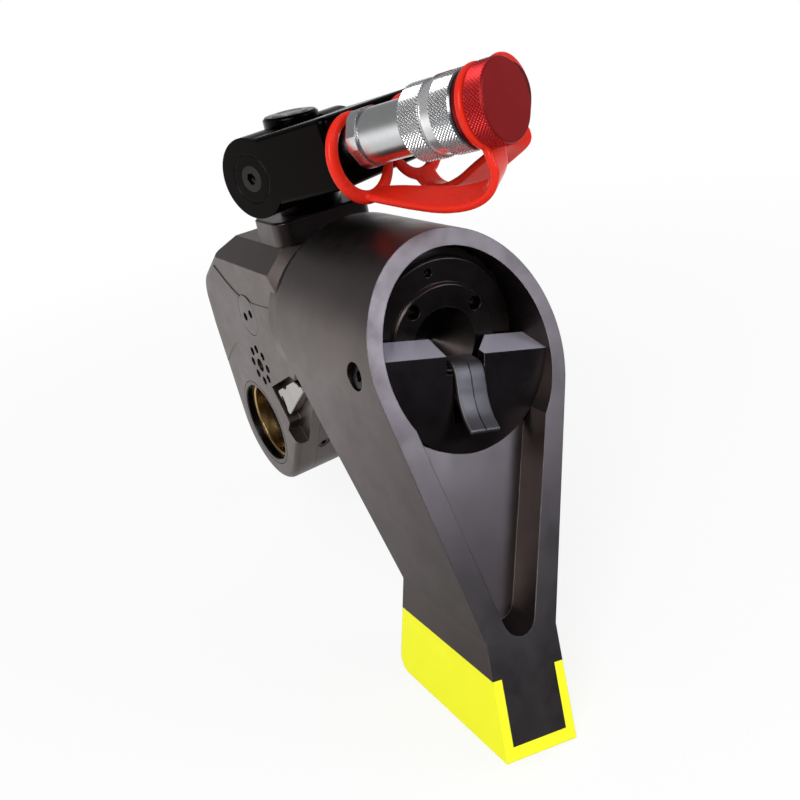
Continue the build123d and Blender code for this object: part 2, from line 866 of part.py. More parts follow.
# Release lever: a polished plate with two scallops for the finger and an oval slot over its shaft
with BuildPart() as release_lever:
    with BuildSketch(at_y(lever_out_y)) as lever_sketch:
        Polygon(*lever_corners, align=None)
        fillet(lever_sketch.vertices(), lever_corner_r)
        with Locations(*lever_scallops):
            Circle(lever_scallop_r, mode=Mode.SUBTRACT)
    extrude(amount=lever_t)
    outer_face = release_lever.faces().sort_by(Axis.Y)[-1]
    chamfer(outer_face.edges(), lever_edge)
    with BuildSketch(at_y(lever_out_y)):
        with Locations(Location(lever_slot_spot, lever_slot_turn)):
            SlotCenterToCenter(lever_slot_len, lever_slot_w)
    extrude(amount=lever_slot_depth, mode=Mode.SUBTRACT)
save(release_lever, "release_lever")

# Ratchet wheel with its hubs, splined through for the square drive
with BuildPart() as ratchet_wheel:
    with BuildSketch(at_y(wheel_half)):
        Polygon(*saw_teeth(wheel_teeth, wheel_tip_r - tooth_depth, wheel_tip_r), align=None)
    extrude(amount=2 * wheel_half)
    with BuildSketch(at_y(hub_half)):
        Circle(hub_r)
    extrude(amount=2 * hub_half)
    with BuildSketch(at_y(hub_half)):
        Polygon(
            *square_teeth(drive_teeth, drive_root_r + slide_fit, drive_tip_r + slide_fit, 0.56),
            align=None,
        )
    extrude(amount=2 * hub_half, mode=Mode.SUBTRACT)
save(ratchet_wheel, "ratchet_wheel")

# Square drive: splined shank, journal in the right bush and the square
shank_end_y = hub_half + slide_fit
square_start_y = side_y + move_gap
with BuildPart() as square_drive:
    with BuildSketch(at_y(hub_half)):
        Polygon(*square_teeth(drive_teeth, drive_root_r, drive_tip_r, 0.5), align=None)
    extrude(amount=hub_half + shank_end_y)
    with BuildSketch(at_y(-shank_end_y)):
        Circle(hub_r)
    extrude(amount=square_start_y - shank_end_y)
    with BuildSketch(at_y(-square_start_y)):
        Rectangle(square, square)
    extrude(amount=square_len)
    far_end = square_drive.faces().sort_by(Axis.Y)[0]
    chamfer(far_end.edges(), 1.2)
    with BuildSketch(Plane.XY.offset(-square)):
        with Locations((0, -square_start_y - square_len / 2)):
            Circle(square_pin_r)
    extrude(amount=2 * square, mode=Mode.SUBTRACT)
    with BuildSketch(at_y(hub_half)):
        Circle(button_r + run_fit)
    extrude(amount=button_len, mode=Mode.SUBTRACT)
save(square_drive, "square_drive")

with BuildPart() as drive_retainer:
    with BuildSketch(at_y(hub_half + slide_fit + retainer_t)):
        Circle(retainer_r)
        Circle(button_r + run_fit, mode=Mode.SUBTRACT)
    extrude(amount=retainer_t)
    chamfer(drive_retainer.edges().sort_by(Axis.Y)[-2:], 0.6)
save(drive_retainer, "drive_retainer")

with BuildPart() as retainer_button:
    with BuildSketch(at_y(hub_half + slide_fit + retainer_t + button_travel)):
        Circle(button_r)
    extrude(amount=slide_fit + retainer_t + button_travel + button_len - button_travel - move_gap)
    chamfer(retainer_button.edges().filter_by(GeomType.CIRCLE).sort_by(Axis.Y)[-1], 0.8)
save(retainer_button, "retainer_button")

# Side plugs over the rod pin, and the breather's screw
for side, plug_name in ((1, "left_side_plug"), (-1, "right_side_plug")):
    with BuildPart() as side_plug:
        with BuildSketch(at_y(side * side_y)):
            with Locations((rod_pin_x, axis_h)):
                Circle(side_plug_r)
        extrude(amount=side * side_plug_t)
        outer_face = side_plug.faces().sort_by(Axis.Y)[-1 if side > 0 else 0]
        chamfer(outer_face.edges(), side_plug_edge)
        with BuildSketch(at_y(side * side_y)):
            with Locations((rod_pin_x, axis_h)):
                with PolarLocations(side_plug_hole_circle, 2, start_angle=side_plug_turn):
                    Circle(side_plug_hole_r)
        extrude(amount=side * side_plug_t, mode=Mode.SUBTRACT)
    save(side_plug, plug_name)

with BuildPart() as vent_screw:
    with BuildSketch(at_y(half_w - vent_screw_sink)):
        with Locations((vent_x, vent_z)):
            Circle(vent_screw_r)
    extrude(amount=vent_depth - vent_screw_sink)
    with BuildSketch(at_y(half_w - vent_screw_sink)):
        with Locations((vent_x, vent_z)):
            RegularPolygon(0.55 * vent_screw_r, 6)
    extrude(amount=0.5 * vent_depth, mode=Mode.SUBTRACT)
save(vent_screw, "vent_screw")

# Base block on the housing, and the swivel post: its stem through the base, and its neck between the cheeks
with BuildPart() as swivel_base:
    with BuildSketch(at_z(top_z)):
        base_outline(0)
    extrude(amount=swivel_base_h)
    chamfer(swivel_base.edges().group_by(Axis.Z)[-1], swivel_base_edge)
    with BuildSketch(at_z(top_z)):
        Circle(swivel_stem_r + run_fit)
    extrude(amount=swivel_base_h, mode=Mode.SUBTRACT)
save(swivel_base, "swivel_base")

with BuildPart() as swivel_post:
    post_foot_h = swivel_base_h + move_gap
    with BuildSketch(at_z(top_z - swivel_stem_depth)):
        Circle(swivel_stem_r)
    extrude(amount=swivel_stem_depth + post_foot_h)
    with BuildSketch(at_z(top_z + post_foot_h)):
        Circle(swivel_post_r)
    extrude(amount=swivel_post_h - post_foot_h)
    with BuildSketch(block_side(-swivel_post_r)):
        Circle(trunnion_r + run_fit)
    extrude(amount=2 * swivel_post_r, mode=Mode.SUBTRACT)
save(swivel_post, "swivel_post")

with BuildPart() as swivel_cap:
    with BuildSketch(at_z(top_z + swivel_post_h)):
        Circle(swivel_cap_r)
    extrude(amount=swivel_cap_t)
    top_rim = swivel_cap.edges().group_by(Axis.Z)[-1]
    chamfer(top_rim, 1.0)
save(swivel_cap, "swivel_cap")

# Swivel block: a yoke round the post, bored for its trunnions and tapped for the couplers
with BuildPart() as swivel_block:
    with BuildSketch(block_side(-block_half)):
        Circle(block_end_r)
        with Locations((block_len / 2, (block_high - block_low) / 2)):
            Rectangle(block_len, block_high + block_low)
    extrude(amount=2 * block_half)
    front_face = swivel_block.faces().sort_by(lambda face: face.center().dot(block_d))[-1]
    corner_edges = front_face.edges().filter_by(lambda edge: abs((edge % 0.5).dot(block_u)) > 0.9)
    fillet(corner_edges, block_corner_r)
    front_face = swivel_block.faces().sort_by(lambda face: face.center().dot(block_d))[-1]
    fillet(front_face.edges().filter_by(lambda edge: abs((edge % 0.5).dot(block_n)) > 0.9), block_edge_r)
    with BuildSketch(block_side(-yoke_half)):
        with Locations((yoke_depth, 0)):
            Rectangle(2 * yoke_depth, 4 * block_end_r, align=(Align.MAX, Align.CENTER))
    extrude(amount=2 * yoke_half, mode=Mode.SUBTRACT)
    with BuildSketch(block_side(-block_half)):
        Circle(trunnion_r)
    extrude(amount=2 * block_half, mode=Mode.SUBTRACT)
    for plug_plane in (block_side(-block_half), block_side(block_half - plug_t)):
        with BuildSketch(plug_plane):
            Circle(plug_r)
        extrude(amount=plug_t, mode=Mode.SUBTRACT)
save(swivel_block, "swivel_block")

# Trunnions in the cheeks, and the plugs and screws that close them
trunnion_len = block_half - plug_t - trunnion_in
with BuildPart() as trunnions:
    for trunnion_plane in (block_side(trunnion_in), block_side(-trunnion_in - trunnion_len)):
        with BuildSketch(trunnion_plane):
            Circle(trunnion_r)
        extrude(amount=trunnion_len)
save(trunnions, "trunnions")

with BuildPart() as trunnion_plugs:
    for plug_plane, direction in ((block_side(block_half), -1), (block_side(-block_half), 1)):
        with BuildSketch(plug_plane):
            Circle(plug_r)
            Circle(plug_screw_r, mode=Mode.SUBTRACT)
        extrude(amount=direction * plug_t)
    for end in (0, -1):
        outer_face = trunnion_plugs.faces().sort_by(lambda face: face.center().dot(block_n))[end]
        chamfer(outer_face.outer_wire().edges(), plug_edge)
save(trunnion_plugs, "trunnion_plugs")

with BuildPart() as trunnion_screws:
    for screw_plane, direction in ((block_side(block_half), -1), (block_side(-block_half), 1)):
        with BuildSketch(screw_plane):
            Circle(plug_screw_r)
        extrude(amount=direction * plug_t)
        with BuildSketch(screw_plane):
            RegularPolygon(0.5 * plug_screw_r, 6)
        extrude(amount=direction * 0.8 * plug_t, mode=Mode.SUBTRACT)
save(trunnion_screws, "trunnion_screws")

# Couplers: the one on the bush side has a knurled locking collar, the other is a plain nipple
for side, end, coupler_name in ((1, neck_end, "advance_coupler"), (-1, nipple_end, "return_nipple")):
    with BuildPart() as coupler:
        with BuildSketch(coupler_section(side, hex_start)):
            RegularPolygon(hex_af / 2, 6, major_radius=False)
        extrude(amount=hex_end - hex_start)
        with BuildSketch(coupler_section(side, hex_start)):
            Circle(hex_af / 2 + hex_edge)
        extrude(amount=hex_end - hex_start, mode=Mode.INTERSECT)
        with BuildSketch(coupler_section(side, block_len)):
            Circle(thread_r)
        extrude(amount=hex_start - block_len)
        with BuildSketch(coupler_section(side, hex_end)):
            Circle(neck_groove_r)
        extrude(amount=neck_groove_w)
        with BuildSketch(coupler_section(side, hex_end + neck_groove_w)):
            Circle(neck_r)
        extrude(amount=end - hex_end - neck_groove_w)
        with BuildSketch(coupler_section(side, end)):
            Circle(0.45 * neck_r)
        extrude(amount=-0.5 * (end - hex_end), mode=Mode.SUBTRACT)
    save(coupler, coupler_name)

with BuildPart() as coupler_collar:
    with BuildSketch(coupler_section(1, collar_start)):
        Circle(collar_r)
    extrude(amount=collar_end - collar_start)
    rims = coupler_collar.edges().filter_by(GeomType.CIRCLE)
    chamfer(rims, collar_edge)
    with BuildSketch(coupler_section(1, collar_groove_start)):
        Circle(collar_r + 1)
        Circle(collar_r - collar_groove_depth, mode=Mode.SUBTRACT)
    extrude(amount=collar_groove_end - collar_groove_start, mode=Mode.SUBTRACT)
    with BuildSketch(coupler_section(1, collar_start)):
        Circle(neck_r + slide_fit)
    extrude(amount=collar_end - collar_start, mode=Mode.SUBTRACT)
save(coupler_collar, "coupler_collar")

# Red dust caps: a knurled head on the advance side, a long sleeve over the nipple on the return side
with BuildPart() as advance_cap:
    with BuildSketch(coupler_section(1, cap_start)):
        Circle(cap_r)
    extrude(amount=cap_end - cap_start)
    chamfer(advance_cap.edges().filter_by(GeomType.CIRCLE), cap_edge_r)
    with BuildSketch(coupler_section(1, cap_flange_end)):
        Circle(cap_stem_r)
    extrude(amount=cap_start - cap_flange_end)
    with BuildSketch(coupler_section(1, cap_flange_start)):
        Circle(cap_flange_r)
    extrude(amount=cap_flange_end - cap_flange_start)
save(advance_cap, "advance_cap")

with BuildPart() as return_cap:
    with BuildSketch(coupler_section(-1, sleeve_cap_start)):
        Circle(sleeve_cap_r)
    extrude(amount=sleeve_cap_end - sleeve_cap_start)
    chamfer(return_cap.edges().filter_by(GeomType.CIRCLE), cap_edge_r)
    with BuildSketch(coupler_section(-1, sleeve_cap_end)):
        Circle(cap_stem_r)
    extrude(amount=end_disc_start - sleeve_cap_end)
    with BuildSketch(coupler_section(-1, end_disc_start)):
        Circle(end_disc_r)
    extrude(amount=end_disc_end - end_disc_start)
    with BuildSketch(coupler_section(-1, sleeve_cap_start)):
        Circle(neck_r + slide_fit)
    extrude(amount=nipple_end + move_gap - sleeve_cap_start, mode=Mode.SUBTRACT)
save(return_cap, "return_cap")

# Rubber tethers: a ring hung on the coupler's thread, a strap in a loop, and a ring in the cap's groove
for side, ring_start, strap_path, tether_name in (
    (1, cap_flange_end + cap_ring_gap, advance_strap, "advance_tether"),
    (-1, sleeve_cap_end + cap_ring_gap, return_strap, "return_tether"),
):
    with BuildPart() as tether:
        with BuildSketch(coupler_section(side, block_len + slide_fit)):
            with Locations((0, -ring_drop)):
                Circle(neck_ring_r)
                Circle(neck_ring_bore_r, mode=Mode.SUBTRACT)
        extrude(amount=neck_ring_t)
        with BuildSketch(coupler_section(side, ring_start)):
            Circle(cap_ring_outer_r)
            Circle(cap_stem_r + move_gap, mode=Mode.SUBTRACT)
        extrude(amount=tether_t)
        with BuildSketch(block_side(side * coupler_n - strap_w / 2)):
            with BuildLine():
                Spline(*strap_path)
            trace(line_width=tether_t)
        extrude(amount=strap_w)
        # The bores stay clear of the strap's ends
        with BuildSketch(coupler_section(side, block_len + slide_fit)):
            with Locations((0, -ring_drop)):
                Circle(neck_ring_bore_r)
        extrude(amount=neck_ring_t, mode=Mode.SUBTRACT)
    save(tether, tether_name)


def arm_rear_x(z):
    """Where the sloping rear face of the arm lies at one height in the arm's own frame."""
    return rear_offset + rear_slope * z


# Tapered pocket down the rear of the arm, as a tool for the next piece
with BuildPart() as pocket_tool:
    with BuildSketch(arm_section(2 * rear_offset + rear_slope * foot_z)):
        Circle(pocket_top_r)
        with Locations((0, pocket_toe_z)):
            Circle(pocket_toe_r)
        make_hull()
    extrude(amount=sleeve_front - 2 * rear_offset - rear_slope * foot_z)
    with BuildSketch(arm_side(sleeve_r)):
        high = 2 * sleeve_r
        Polygon(
            (arm_rear_x(high) + pocket_depth, high),
            (arm_rear_x(2 * foot_z) + pocket_depth, 2 * foot_z),
            (4 * foot_z, 2 * foot_z),
            (4 * foot_z, high),
            align=None,
        )
    extrude(amount=2 * sleeve_r, mode=Mode.INTERSECT)

# Reaction arm: sleeve over the barrel, tapered leg and foot
with BuildPart() as reaction_arm:
    with BuildSketch(arm_section(arm_rear_x(foot_z) - blank_past)):
        Circle(sleeve_r)
        with Locations((0, neck_z)):
            Rectangle(2 * neck_half, 0.1, align=(Align.CENTER, Align.MIN))
        make_hull()
        with Locations((0, neck_z)):
            Rectangle(2 * neck_half, neck_z - foot_z, align=(Align.CENTER, Align.MAX))
    extrude(amount=sleeve_front - arm_rear_x(foot_z) + blank_past)
    with BuildSketch(arm_section(arm_rear_x(foot_z) - blank_past)):
        Circle(sleeve_bore_r)
    extrude(amount=sleeve_front - arm_rear_x(foot_z) + 2 * blank_past, mode=Mode.SUBTRACT)
    # Internal splines, one for each groove of the barrel
    with BuildSketch(arm_section(arm_spline_rear)):
        with PolarLocations(sleeve_bore_r, spline_teeth):
            Rectangle(2 * (spline_depth - spline_land), spline_w - 2 * spline_land)
        Circle((sleeve_bore_r + sleeve_r) / 2, mode=Mode.INTERSECT)
    extrude(amount=arm_spline_front - arm_spline_rear)
    with BuildSketch(arm_side(sleeve_r + blank_past)) as arm_profile:
        Polygon(
            (arm_rear_x(sleeve_r + blank_past), sleeve_r + blank_past),
            (sleeve_front, sleeve_r + blank_past),
            (sleeve_front, sleeve_low_z),
            (shin_x, shin_z),
            (toe_x, foot_z),
            (arm_rear_x(foot_z), foot_z),
            align=None,
        )
        fillet(arm_profile.vertices().sort_by(Axis.Y)[:2].sort_by(Axis.X)[-1], toe_r)
    extrude(amount=2 * (sleeve_r + blank_past), mode=Mode.INTERSECT)
    add(pocket_tool.part, mode=Mode.SUBTRACT)
    # Foot core, left narrower for the shoe
    with BuildSketch(arm_section(arm_rear_x(foot_z) - blank_past)):
        with Locations((0, shoe_z)):
            Rectangle(4 * neck_half, shoe_z - foot_z + blank_past, align=(Align.CENTER, Align.MAX))
        with Locations((0, shoe_z)):
            Rectangle(
                2 * (neck_half - shoe_wall),
                shoe_z - foot_z - shoe_sole,
                align=(Align.CENTER, Align.MAX),
                mode=Mode.SUBTRACT,
            )
    extrude(amount=sleeve_front - arm_rear_x(foot_z), mode=Mode.SUBTRACT)
    # Screw recesses and holes into the half plate
    for screw_side in (1, -1):
        seat = screw_side * arm_screw_seat
        with BuildSketch(arm_side(seat)):
            with Locations((arm_screw_x, arm_screw_z)):
                Circle(arm_screw_recess_r)
        extrude(amount=-screw_side * (sleeve_r - arm_screw_seat + blank_past), mode=Mode.SUBTRACT)
        with BuildSketch(arm_side(seat)):
            with Locations((arm_screw_x, arm_screw_z)):
                Circle(arm_screw_r)
        extrude(amount=screw_side * arm_screw_recess_r, mode=Mode.SUBTRACT)
save(reaction_arm, "reaction_arm")

# Yellow shoe round the foot, open at the rear and the top
with BuildPart() as foot_shoe:
    with BuildSketch(arm_section(arm_rear_x(foot_z) - blank_past)):
        with Locations((0, shoe_z)):
            Rectangle(2 * neck_half, shoe_z - foot_z, align=(Align.CENTER, Align.MAX))
            Rectangle(
                2 * (neck_half - shoe_wall),
                shoe_z - foot_z - shoe_sole,
                align=(Align.CENTER, Align.MAX),
                mode=Mode.SUBTRACT,
            )
    extrude(amount=sleeve_front - arm_rear_x(foot_z))
    with BuildSketch(arm_side(sleeve_r)):
        add(arm_profile.sketch_local)
    extrude(amount=2 * sleeve_r, mode=Mode.INTERSECT)
save(foot_shoe, "foot_shoe")

# Half plate that closes the lower half of the sleeve behind the cylinder
with BuildPart() as arm_half_plate:
    with BuildSketch(arm_section(-half_plate_t - half_plate_foot)):
        Circle(sleeve_bore_r)
    extrude(amount=half_plate_t + half_plate_foot - cap_ring_h - move_gap)
    with BuildSketch(arm_side(sleeve_r)):
        Polygon(
            (0, half_plate_top),
            (-half_plate_t, half_plate_top - half_plate_fall),
            (-half_plate_t - half_plate_foot, -sleeve_bore_r),
            (0, -sleeve_bore_r),
            align=None,
        )
    extrude(amount=2 * sleeve_r, mode=Mode.INTERSECT)
    # Notch over the coned mouth, and the slot for the latch lever
    notch_origin = Vector(end_x, 0, axis_h) - arm_z_axis * notch_depth
    with BuildSketch(Plane(origin=notch_origin, x_dir=(1, 0, 0), z_dir=arm_z_axis)):
        Polygon(
            (cap_ring_h, notch_front[0]),
            (cap_ring_h, notch_front[1]),
            (-half_plate_t - cap_ring_h, notch_rear[1]),
            (-half_plate_t - cap_ring_h, notch_rear[0]),
            align=None,
        )
    extrude(amount=notch_depth + 2 * half_plate_top, mode=Mode.SUBTRACT)
    with BuildSketch(arm_side(latch_half_w + latch_slot_gap)):
        Polygon(*latch_slot, align=None)
    extrude(amount=2 * (latch_half_w + latch_slot_gap), mode=Mode.SUBTRACT)
    with BuildSketch(arm_side(sleeve_bore_r)):
        with Locations((arm_screw_x, arm_screw_z)):
            Circle(arm_screw_r)
        with Locations((latch_pin_x, latch_pin_z)):
            Circle(latch_pin_r)
    extrude(amount=2 * sleeve_bore_r, mode=Mode.SUBTRACT)
save(arm_half_plate, "arm_half_plate")

with BuildPart() as arm_screws:
    for screw_side in (1, -1):
        seat = screw_side * arm_screw_seat
        with BuildSketch(arm_side(seat)):
            with Locations((arm_screw_x, arm_screw_z)):
                Circle(arm_screw_head_r)
        extrude(amount=-screw_side * arm_screw_head_t)
        with BuildSketch(arm_side(seat + screw_side * arm_screw_head_t)):
            with Locations((arm_screw_x, arm_screw_z)):
                RegularPolygon(0.5 * arm_screw_head_r, 6)
        extrude(amount=screw_side * arm_screw_socket, mode=Mode.SUBTRACT)
        with BuildSketch(arm_side(seat)):
            with Locations((arm_screw_x, arm_screw_z)):
                Circle(arm_screw_r)
        extrude(amount=screw_side * arm_screw_len)
save(arm_screws, "arm_screws")

# Latch lever of the arm, on a cross pin in the half plate
with BuildPart() as latch_lever:
    with BuildSketch(arm_side(latch_half_w)):
        with BuildLine():
            FilletPolyline(*latch_path, radius=latch_bend_r)
        trace(line_width=latch_t)
        with Locations((latch_pin_x, latch_pin_z)):
            Circle(latch_pin_r + latch_t / 2)
            Circle(latch_pin_r + run_fit, mode=Mode.SUBTRACT)
    extrude(amount=2 * latch_half_w)
save(latch_lever, "latch_lever")

with BuildPart() as latch_pin:
    with BuildSketch(arm_side(latch_half_w + latch_pin_past)):
        with Locations((latch_pin_x, latch_pin_z)):
            Circle(latch_pin_r)
    extrude(amount=2 * (latch_half_w + latch_pin_past))
save(latch_pin, "latch_pin")
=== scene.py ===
import json
import math

import bpy
import numpy as np
from mathutils import Matrix, Vector

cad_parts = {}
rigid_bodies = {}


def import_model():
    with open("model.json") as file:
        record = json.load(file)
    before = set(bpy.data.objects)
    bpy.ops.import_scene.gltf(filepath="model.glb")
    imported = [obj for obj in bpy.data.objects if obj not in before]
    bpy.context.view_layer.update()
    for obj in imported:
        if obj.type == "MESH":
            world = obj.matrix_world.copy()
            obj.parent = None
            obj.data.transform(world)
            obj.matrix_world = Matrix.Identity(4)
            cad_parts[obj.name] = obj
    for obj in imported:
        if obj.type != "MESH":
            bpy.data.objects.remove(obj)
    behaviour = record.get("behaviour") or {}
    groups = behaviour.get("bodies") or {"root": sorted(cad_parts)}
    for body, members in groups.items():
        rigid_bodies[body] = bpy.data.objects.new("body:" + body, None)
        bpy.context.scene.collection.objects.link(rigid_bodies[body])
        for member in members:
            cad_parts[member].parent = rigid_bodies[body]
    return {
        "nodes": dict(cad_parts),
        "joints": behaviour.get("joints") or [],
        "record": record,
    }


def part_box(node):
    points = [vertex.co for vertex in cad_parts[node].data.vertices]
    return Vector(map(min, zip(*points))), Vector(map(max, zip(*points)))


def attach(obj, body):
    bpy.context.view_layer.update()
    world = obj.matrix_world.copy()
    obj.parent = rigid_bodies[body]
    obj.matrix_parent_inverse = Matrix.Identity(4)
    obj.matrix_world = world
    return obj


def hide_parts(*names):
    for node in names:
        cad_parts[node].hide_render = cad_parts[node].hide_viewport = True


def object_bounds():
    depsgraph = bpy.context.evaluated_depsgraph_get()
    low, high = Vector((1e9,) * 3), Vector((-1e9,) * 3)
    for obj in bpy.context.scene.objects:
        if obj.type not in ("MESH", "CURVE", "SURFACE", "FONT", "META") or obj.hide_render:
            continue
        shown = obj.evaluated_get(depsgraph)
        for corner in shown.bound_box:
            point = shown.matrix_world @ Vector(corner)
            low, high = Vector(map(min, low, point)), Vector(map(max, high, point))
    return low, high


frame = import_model()
cad_low, cad_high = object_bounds()

MM = 0.001

# Camera: place, the point it looks at, its roll, and its lens, sensor and near limit
camera_place = Vector((-0.386557, 0.159049, 0.178479))
camera_target = Vector((-0.075606, -0.003695, 0.020195))
camera_roll = math.radians(-11.81)
camera_lens = 41.198
camera_sensor = 36.0
camera_near = 0.01

# Lamps, in metres and watts
key_lamp = dict(place=(-0.9, 0.9, 0.9), target=(0, 0, 0.05), size=(0.9, 0.9), power=13)
rear_lamp = dict(
    place=(-1.15, -0.85, 0.56), target=(-0.13, 0, 0.06), size=(0.6, 0.5), power=6.2, colour=(0.76, 0.83, 1.0),
)

# Studio ranges: a value's low and high, and what they are moved to. Polished metal mirrors a dark room behind
# the object and a white one before it, in the sky by height too, and in the floor by its place along x.
sky_light = 0.6
sky_ahead = (-0.35, 0.35, 0.05, 1.0)
sky_overhead = (0.0, 0.34, 1.0, 0.2)
floor_mirrored = (-0.28, 0.14, 0.03, 0.95)
floor_bare = (0.22, 0.7, 0.82, 1.0)
floor_reach = 4.0
floor_drop = 0.0003
floor_colour = (0.93, 0.93, 0.93, 1)
floor_roughness = 0.9
white = (1, 1, 1, 1)

# Surface detail of every finish: sizes in metres, noises by detail and roughness, and ranges of noise, bend,
# hollow and slope. The bend range and its noise paint edges lighter, partly as real wear and partly as
# painted highlight; the hollow range paints shade into grooves, and the slope range paints lit tops lighter.
cloud_noise = (4.0, 0.6)
wear_and_highlight_noise = (5.0, 0.7)
smear_noise = (5.0, 0.65)
grain_noise = (3.0, 0.6)
lathe_detail = 2.0
patch_size = 0.03
smear_size = 0.4 * patch_size
cloud_range = (0.3, 0.7)
bevel_samples = 4
wear_and_highlight_bend = (0.97, 0.88)
wear_and_highlight_patch = 0.004
wear_and_highlight_break = (0.42, 0.62, 0.15, 1.0)
groove_shade_range = (0.43, 0.495)
lit_top_slope = (0.7, 0.8)
lit_top_blur = 0.0003
lit_top_metallic = 0.15
least_roughness = 0.02
lathe_pitch = 0.00035

# Knurling: diamonds on a grid of four columns and four rows each
knurl_columns = 256
knurl_cell = 4
knurl_depth = 0.5

# The coupler pieces' axes from the block's pivot, and their profiles along the hose axis, in mm, as in the
# CAD. A smooth row is (place, radius), and a knurled band is (start, finish, radius).
coupler_across = 15.5
coupler_up = 2.5
collar_bore_r = 9.95
collar_r = 13.2
collar_groove_r = 12.2
cap_r = 13.7
cap_flange_r = 12.3
cap_stem_r = 9.2
sleeve_cap_r = 13.0
sleeve_bore_r = 9.95
end_disc_r = 10.3
centre_r = 0.05
collar_profile = (
    (77.2, collar_bore_r), (77.2, 12.4), (77.9, 12.9),
    (78.1, 86.0, collar_r),
    (86.3, 12.8), (86.5, collar_groove_r), (90.7, collar_groove_r), (90.9, 12.8),
    (91.1, 98.5, collar_r),
    (98.7, 12.9), (99.4, 12.4), (99.4, collar_bore_r),
)
advance_cap_profile = (
    (99.7, cap_flange_r - 0.3), (99.9, cap_flange_r), (101.4, cap_flange_r),
    (101.5, cap_stem_r), (105.0, cap_stem_r), (105.0, 12.9), (105.5, 13.35),
    (105.7, 111.6, cap_r),
    (111.8, 13.35), (112.2, 13.3), (112.5, 13.0),
)
return_cap_profile = (
    (66.0, sleeve_bore_r), (66.0, 12.3), (66.6, sleeve_cap_r), (72.0, sleeve_cap_r),
    (72.2, 88.0, sleeve_cap_r),
    (88.2, sleeve_cap_r), (90.4, sleeve_cap_r), (91.0, 12.3), (91.0, cap_stem_r), (94.6, cap_stem_r),
    (94.6, end_disc_r - 0.2), (94.9, end_disc_r), (95.9, end_disc_r), (96.2, end_disc_r - 0.4),
    (96.2, centre_r), (88.3, centre_r), (88.3, sleeve_bore_r),
)

# Steps round a ring or a disc, and points round each corner of a strap's section
round_steps = 96
corner_points = 4

# Tethers, in mm: the loose ring on the neck hangs lower and is thicker towards its strap. The other ring sits
# in the cap's groove. The strap is widest at its middle, where it also leans.
neck_ring = dict(inner=12.4, outer=15.5, start=45.1, width=3.5, drop=5.3, swell=2.0)
cap_ring = dict(inner=9.5, outer=13.9, width=3.0, drop=0.0, swell=0.0)
advance_ring_at = 101.7
return_ring_at = 91.2
ring_corner = 1.2
swell_middle = 0.55
swell_across = 0.5
swell_up = 0.35
strap_half_w = 6.2
strap_t = 3.0
strap_corner = 1.1
strap_ends = 0.86
strap_fuller = 0.2
strap_fullness = 0.6
strap_twist = math.radians(24)
tether_voxel = 0.4
tether_softness = 0.5
tether_soft_rounds = 6
advance_strap = (
    (46.8, -16.8), (56, -18.9), (68, -21.9), (80, -24.4), (91, -24.8),
    (98.5, -22.8), (102.6, -18.4), (103.2, -14), (103.2, -9.6),
)
return_strap = (
    (46.8, -16.8), (50.5, -22.6), (58, -25.4), (67, -24.4), (77, -20.4),
    (86, -16.8), (91.4, -14.6), (92.8, -12.4), (92.8, -9.8),
)

# Swivel cap's disc: heights over the cap's top and radii, in mm
disc_profile = ((-0.2, 7.4), (0.25, 7.4), (0.45, 7.2), (0.45, 5.2), (0.2, 5.0), (0.2, 0.4))

# Latch lever, in mm: its bends in the arm's frame, half of its width and thickness, and its parting line
latch_pin = (-8.0, -6.0)
latch_eye_r = 2.4
latch_eye_angles = (-150, -90, -30, 30, 90)
latch_path = (
    (-11.6, -3.8), (-14.8, -4.3), (-17.1, -7.0), (-18.8, -11.2), (-20.6, -15.6), (-24.0, -20.6),
    (-28.9, -24.8),
)
latch_steps = 8
latch_half_w = 6.2
latch_half_t = 0.8
latch_corner = 0.5
parting_rows = 40
parting_half_w = 0.22
parting_half_t = 0.12
parting_corner = 0.05

# Half plate: its tops, painted lighter as a painted highlight where they face the light, lie above a level
# this far below the barrel's axis, in metres
lit_top_below = 0.0015

joints = {joint["name"]: joint for joint in frame["joints"]}

# The swivel block's own directions: along the couplers, across to the bush side, and up
pivot = Vector(joints["block_tilt"]["pos_m"])
across = Vector(joints["block_tilt"]["axis"]).normalized()
along = -Vector(joints["collar_slide"]["axis"]).normalized()
above = across.cross(along)
barrel = Vector(joints["arm_slide"]["pos_m"])
x_axis, y_axis, z_axis = Vector((1, 0, 0)), Vector((0, 1, 0)), Vector((0, 0, 1))

# The reaction arm's own directions, turned by one spline tooth, and its origin on the barrel's end
arm_across = -Vector(joints["latch_tilt"]["axis"]).normalized()
arm_up = x_axis.cross(arm_across)
cap_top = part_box("swivel_cap")[1][2]
barrel_end = Vector(joints["latch_tilt"]["pos_m"]) - (x_axis * latch_pin[0] + arm_up * latch_pin[1]) * MM


def on_block(d, n, u):
    """A point of the swivel block, from millimetres along, across and up from its pivot."""
    return pivot + (along * d + across * n + above * u) * MM


def on_coupler(side, d, right, up):
    """A point round one coupler's axis, from millimetres along it, to its right and up."""
    return on_block(d, side * coupler_across - right, coupler_up + up)


def add_camera():
    """The photograph's viewpoint, with its slight roll."""
    camera = bpy.data.objects.new("camera", bpy.data.cameras.new("camera"))
    bpy.context.scene.collection.objects.link(camera)
    camera.data.lens = camera_lens
    camera.data.sensor_width = camera_sensor
    camera.data.clip_start = camera_near
    look = (camera_target - camera_place).to_track_quat("-Z", "Y").to_matrix()
    roll = Matrix.Rotation(camera_roll, 3, "Z")
    camera.matrix_world = Matrix.Translation(camera_place) @ (look @ roll).to_4x4()
    bpy.context.scene.camera = camera


def add_light(name, place, target, size, power, colour=(1, 1, 1)):
    """A soft rectangular lamp aimed at a point."""
    lamp = bpy.data.lights.new(name, "AREA")
    lamp.shape = "RECTANGLE"
    lamp.size, lamp.size_y = size
    lamp.energy = power
    lamp.color = colour
    light = bpy.data.objects.new(name, lamp)
    bpy.context.scene.collection.objects.link(light)
    aim = Vector(target) - Vector(place)
    light.matrix_world = Matrix.Translation(place) @ aim.to_track_quat("-Z", "Y").to_matrix().to_4x4()


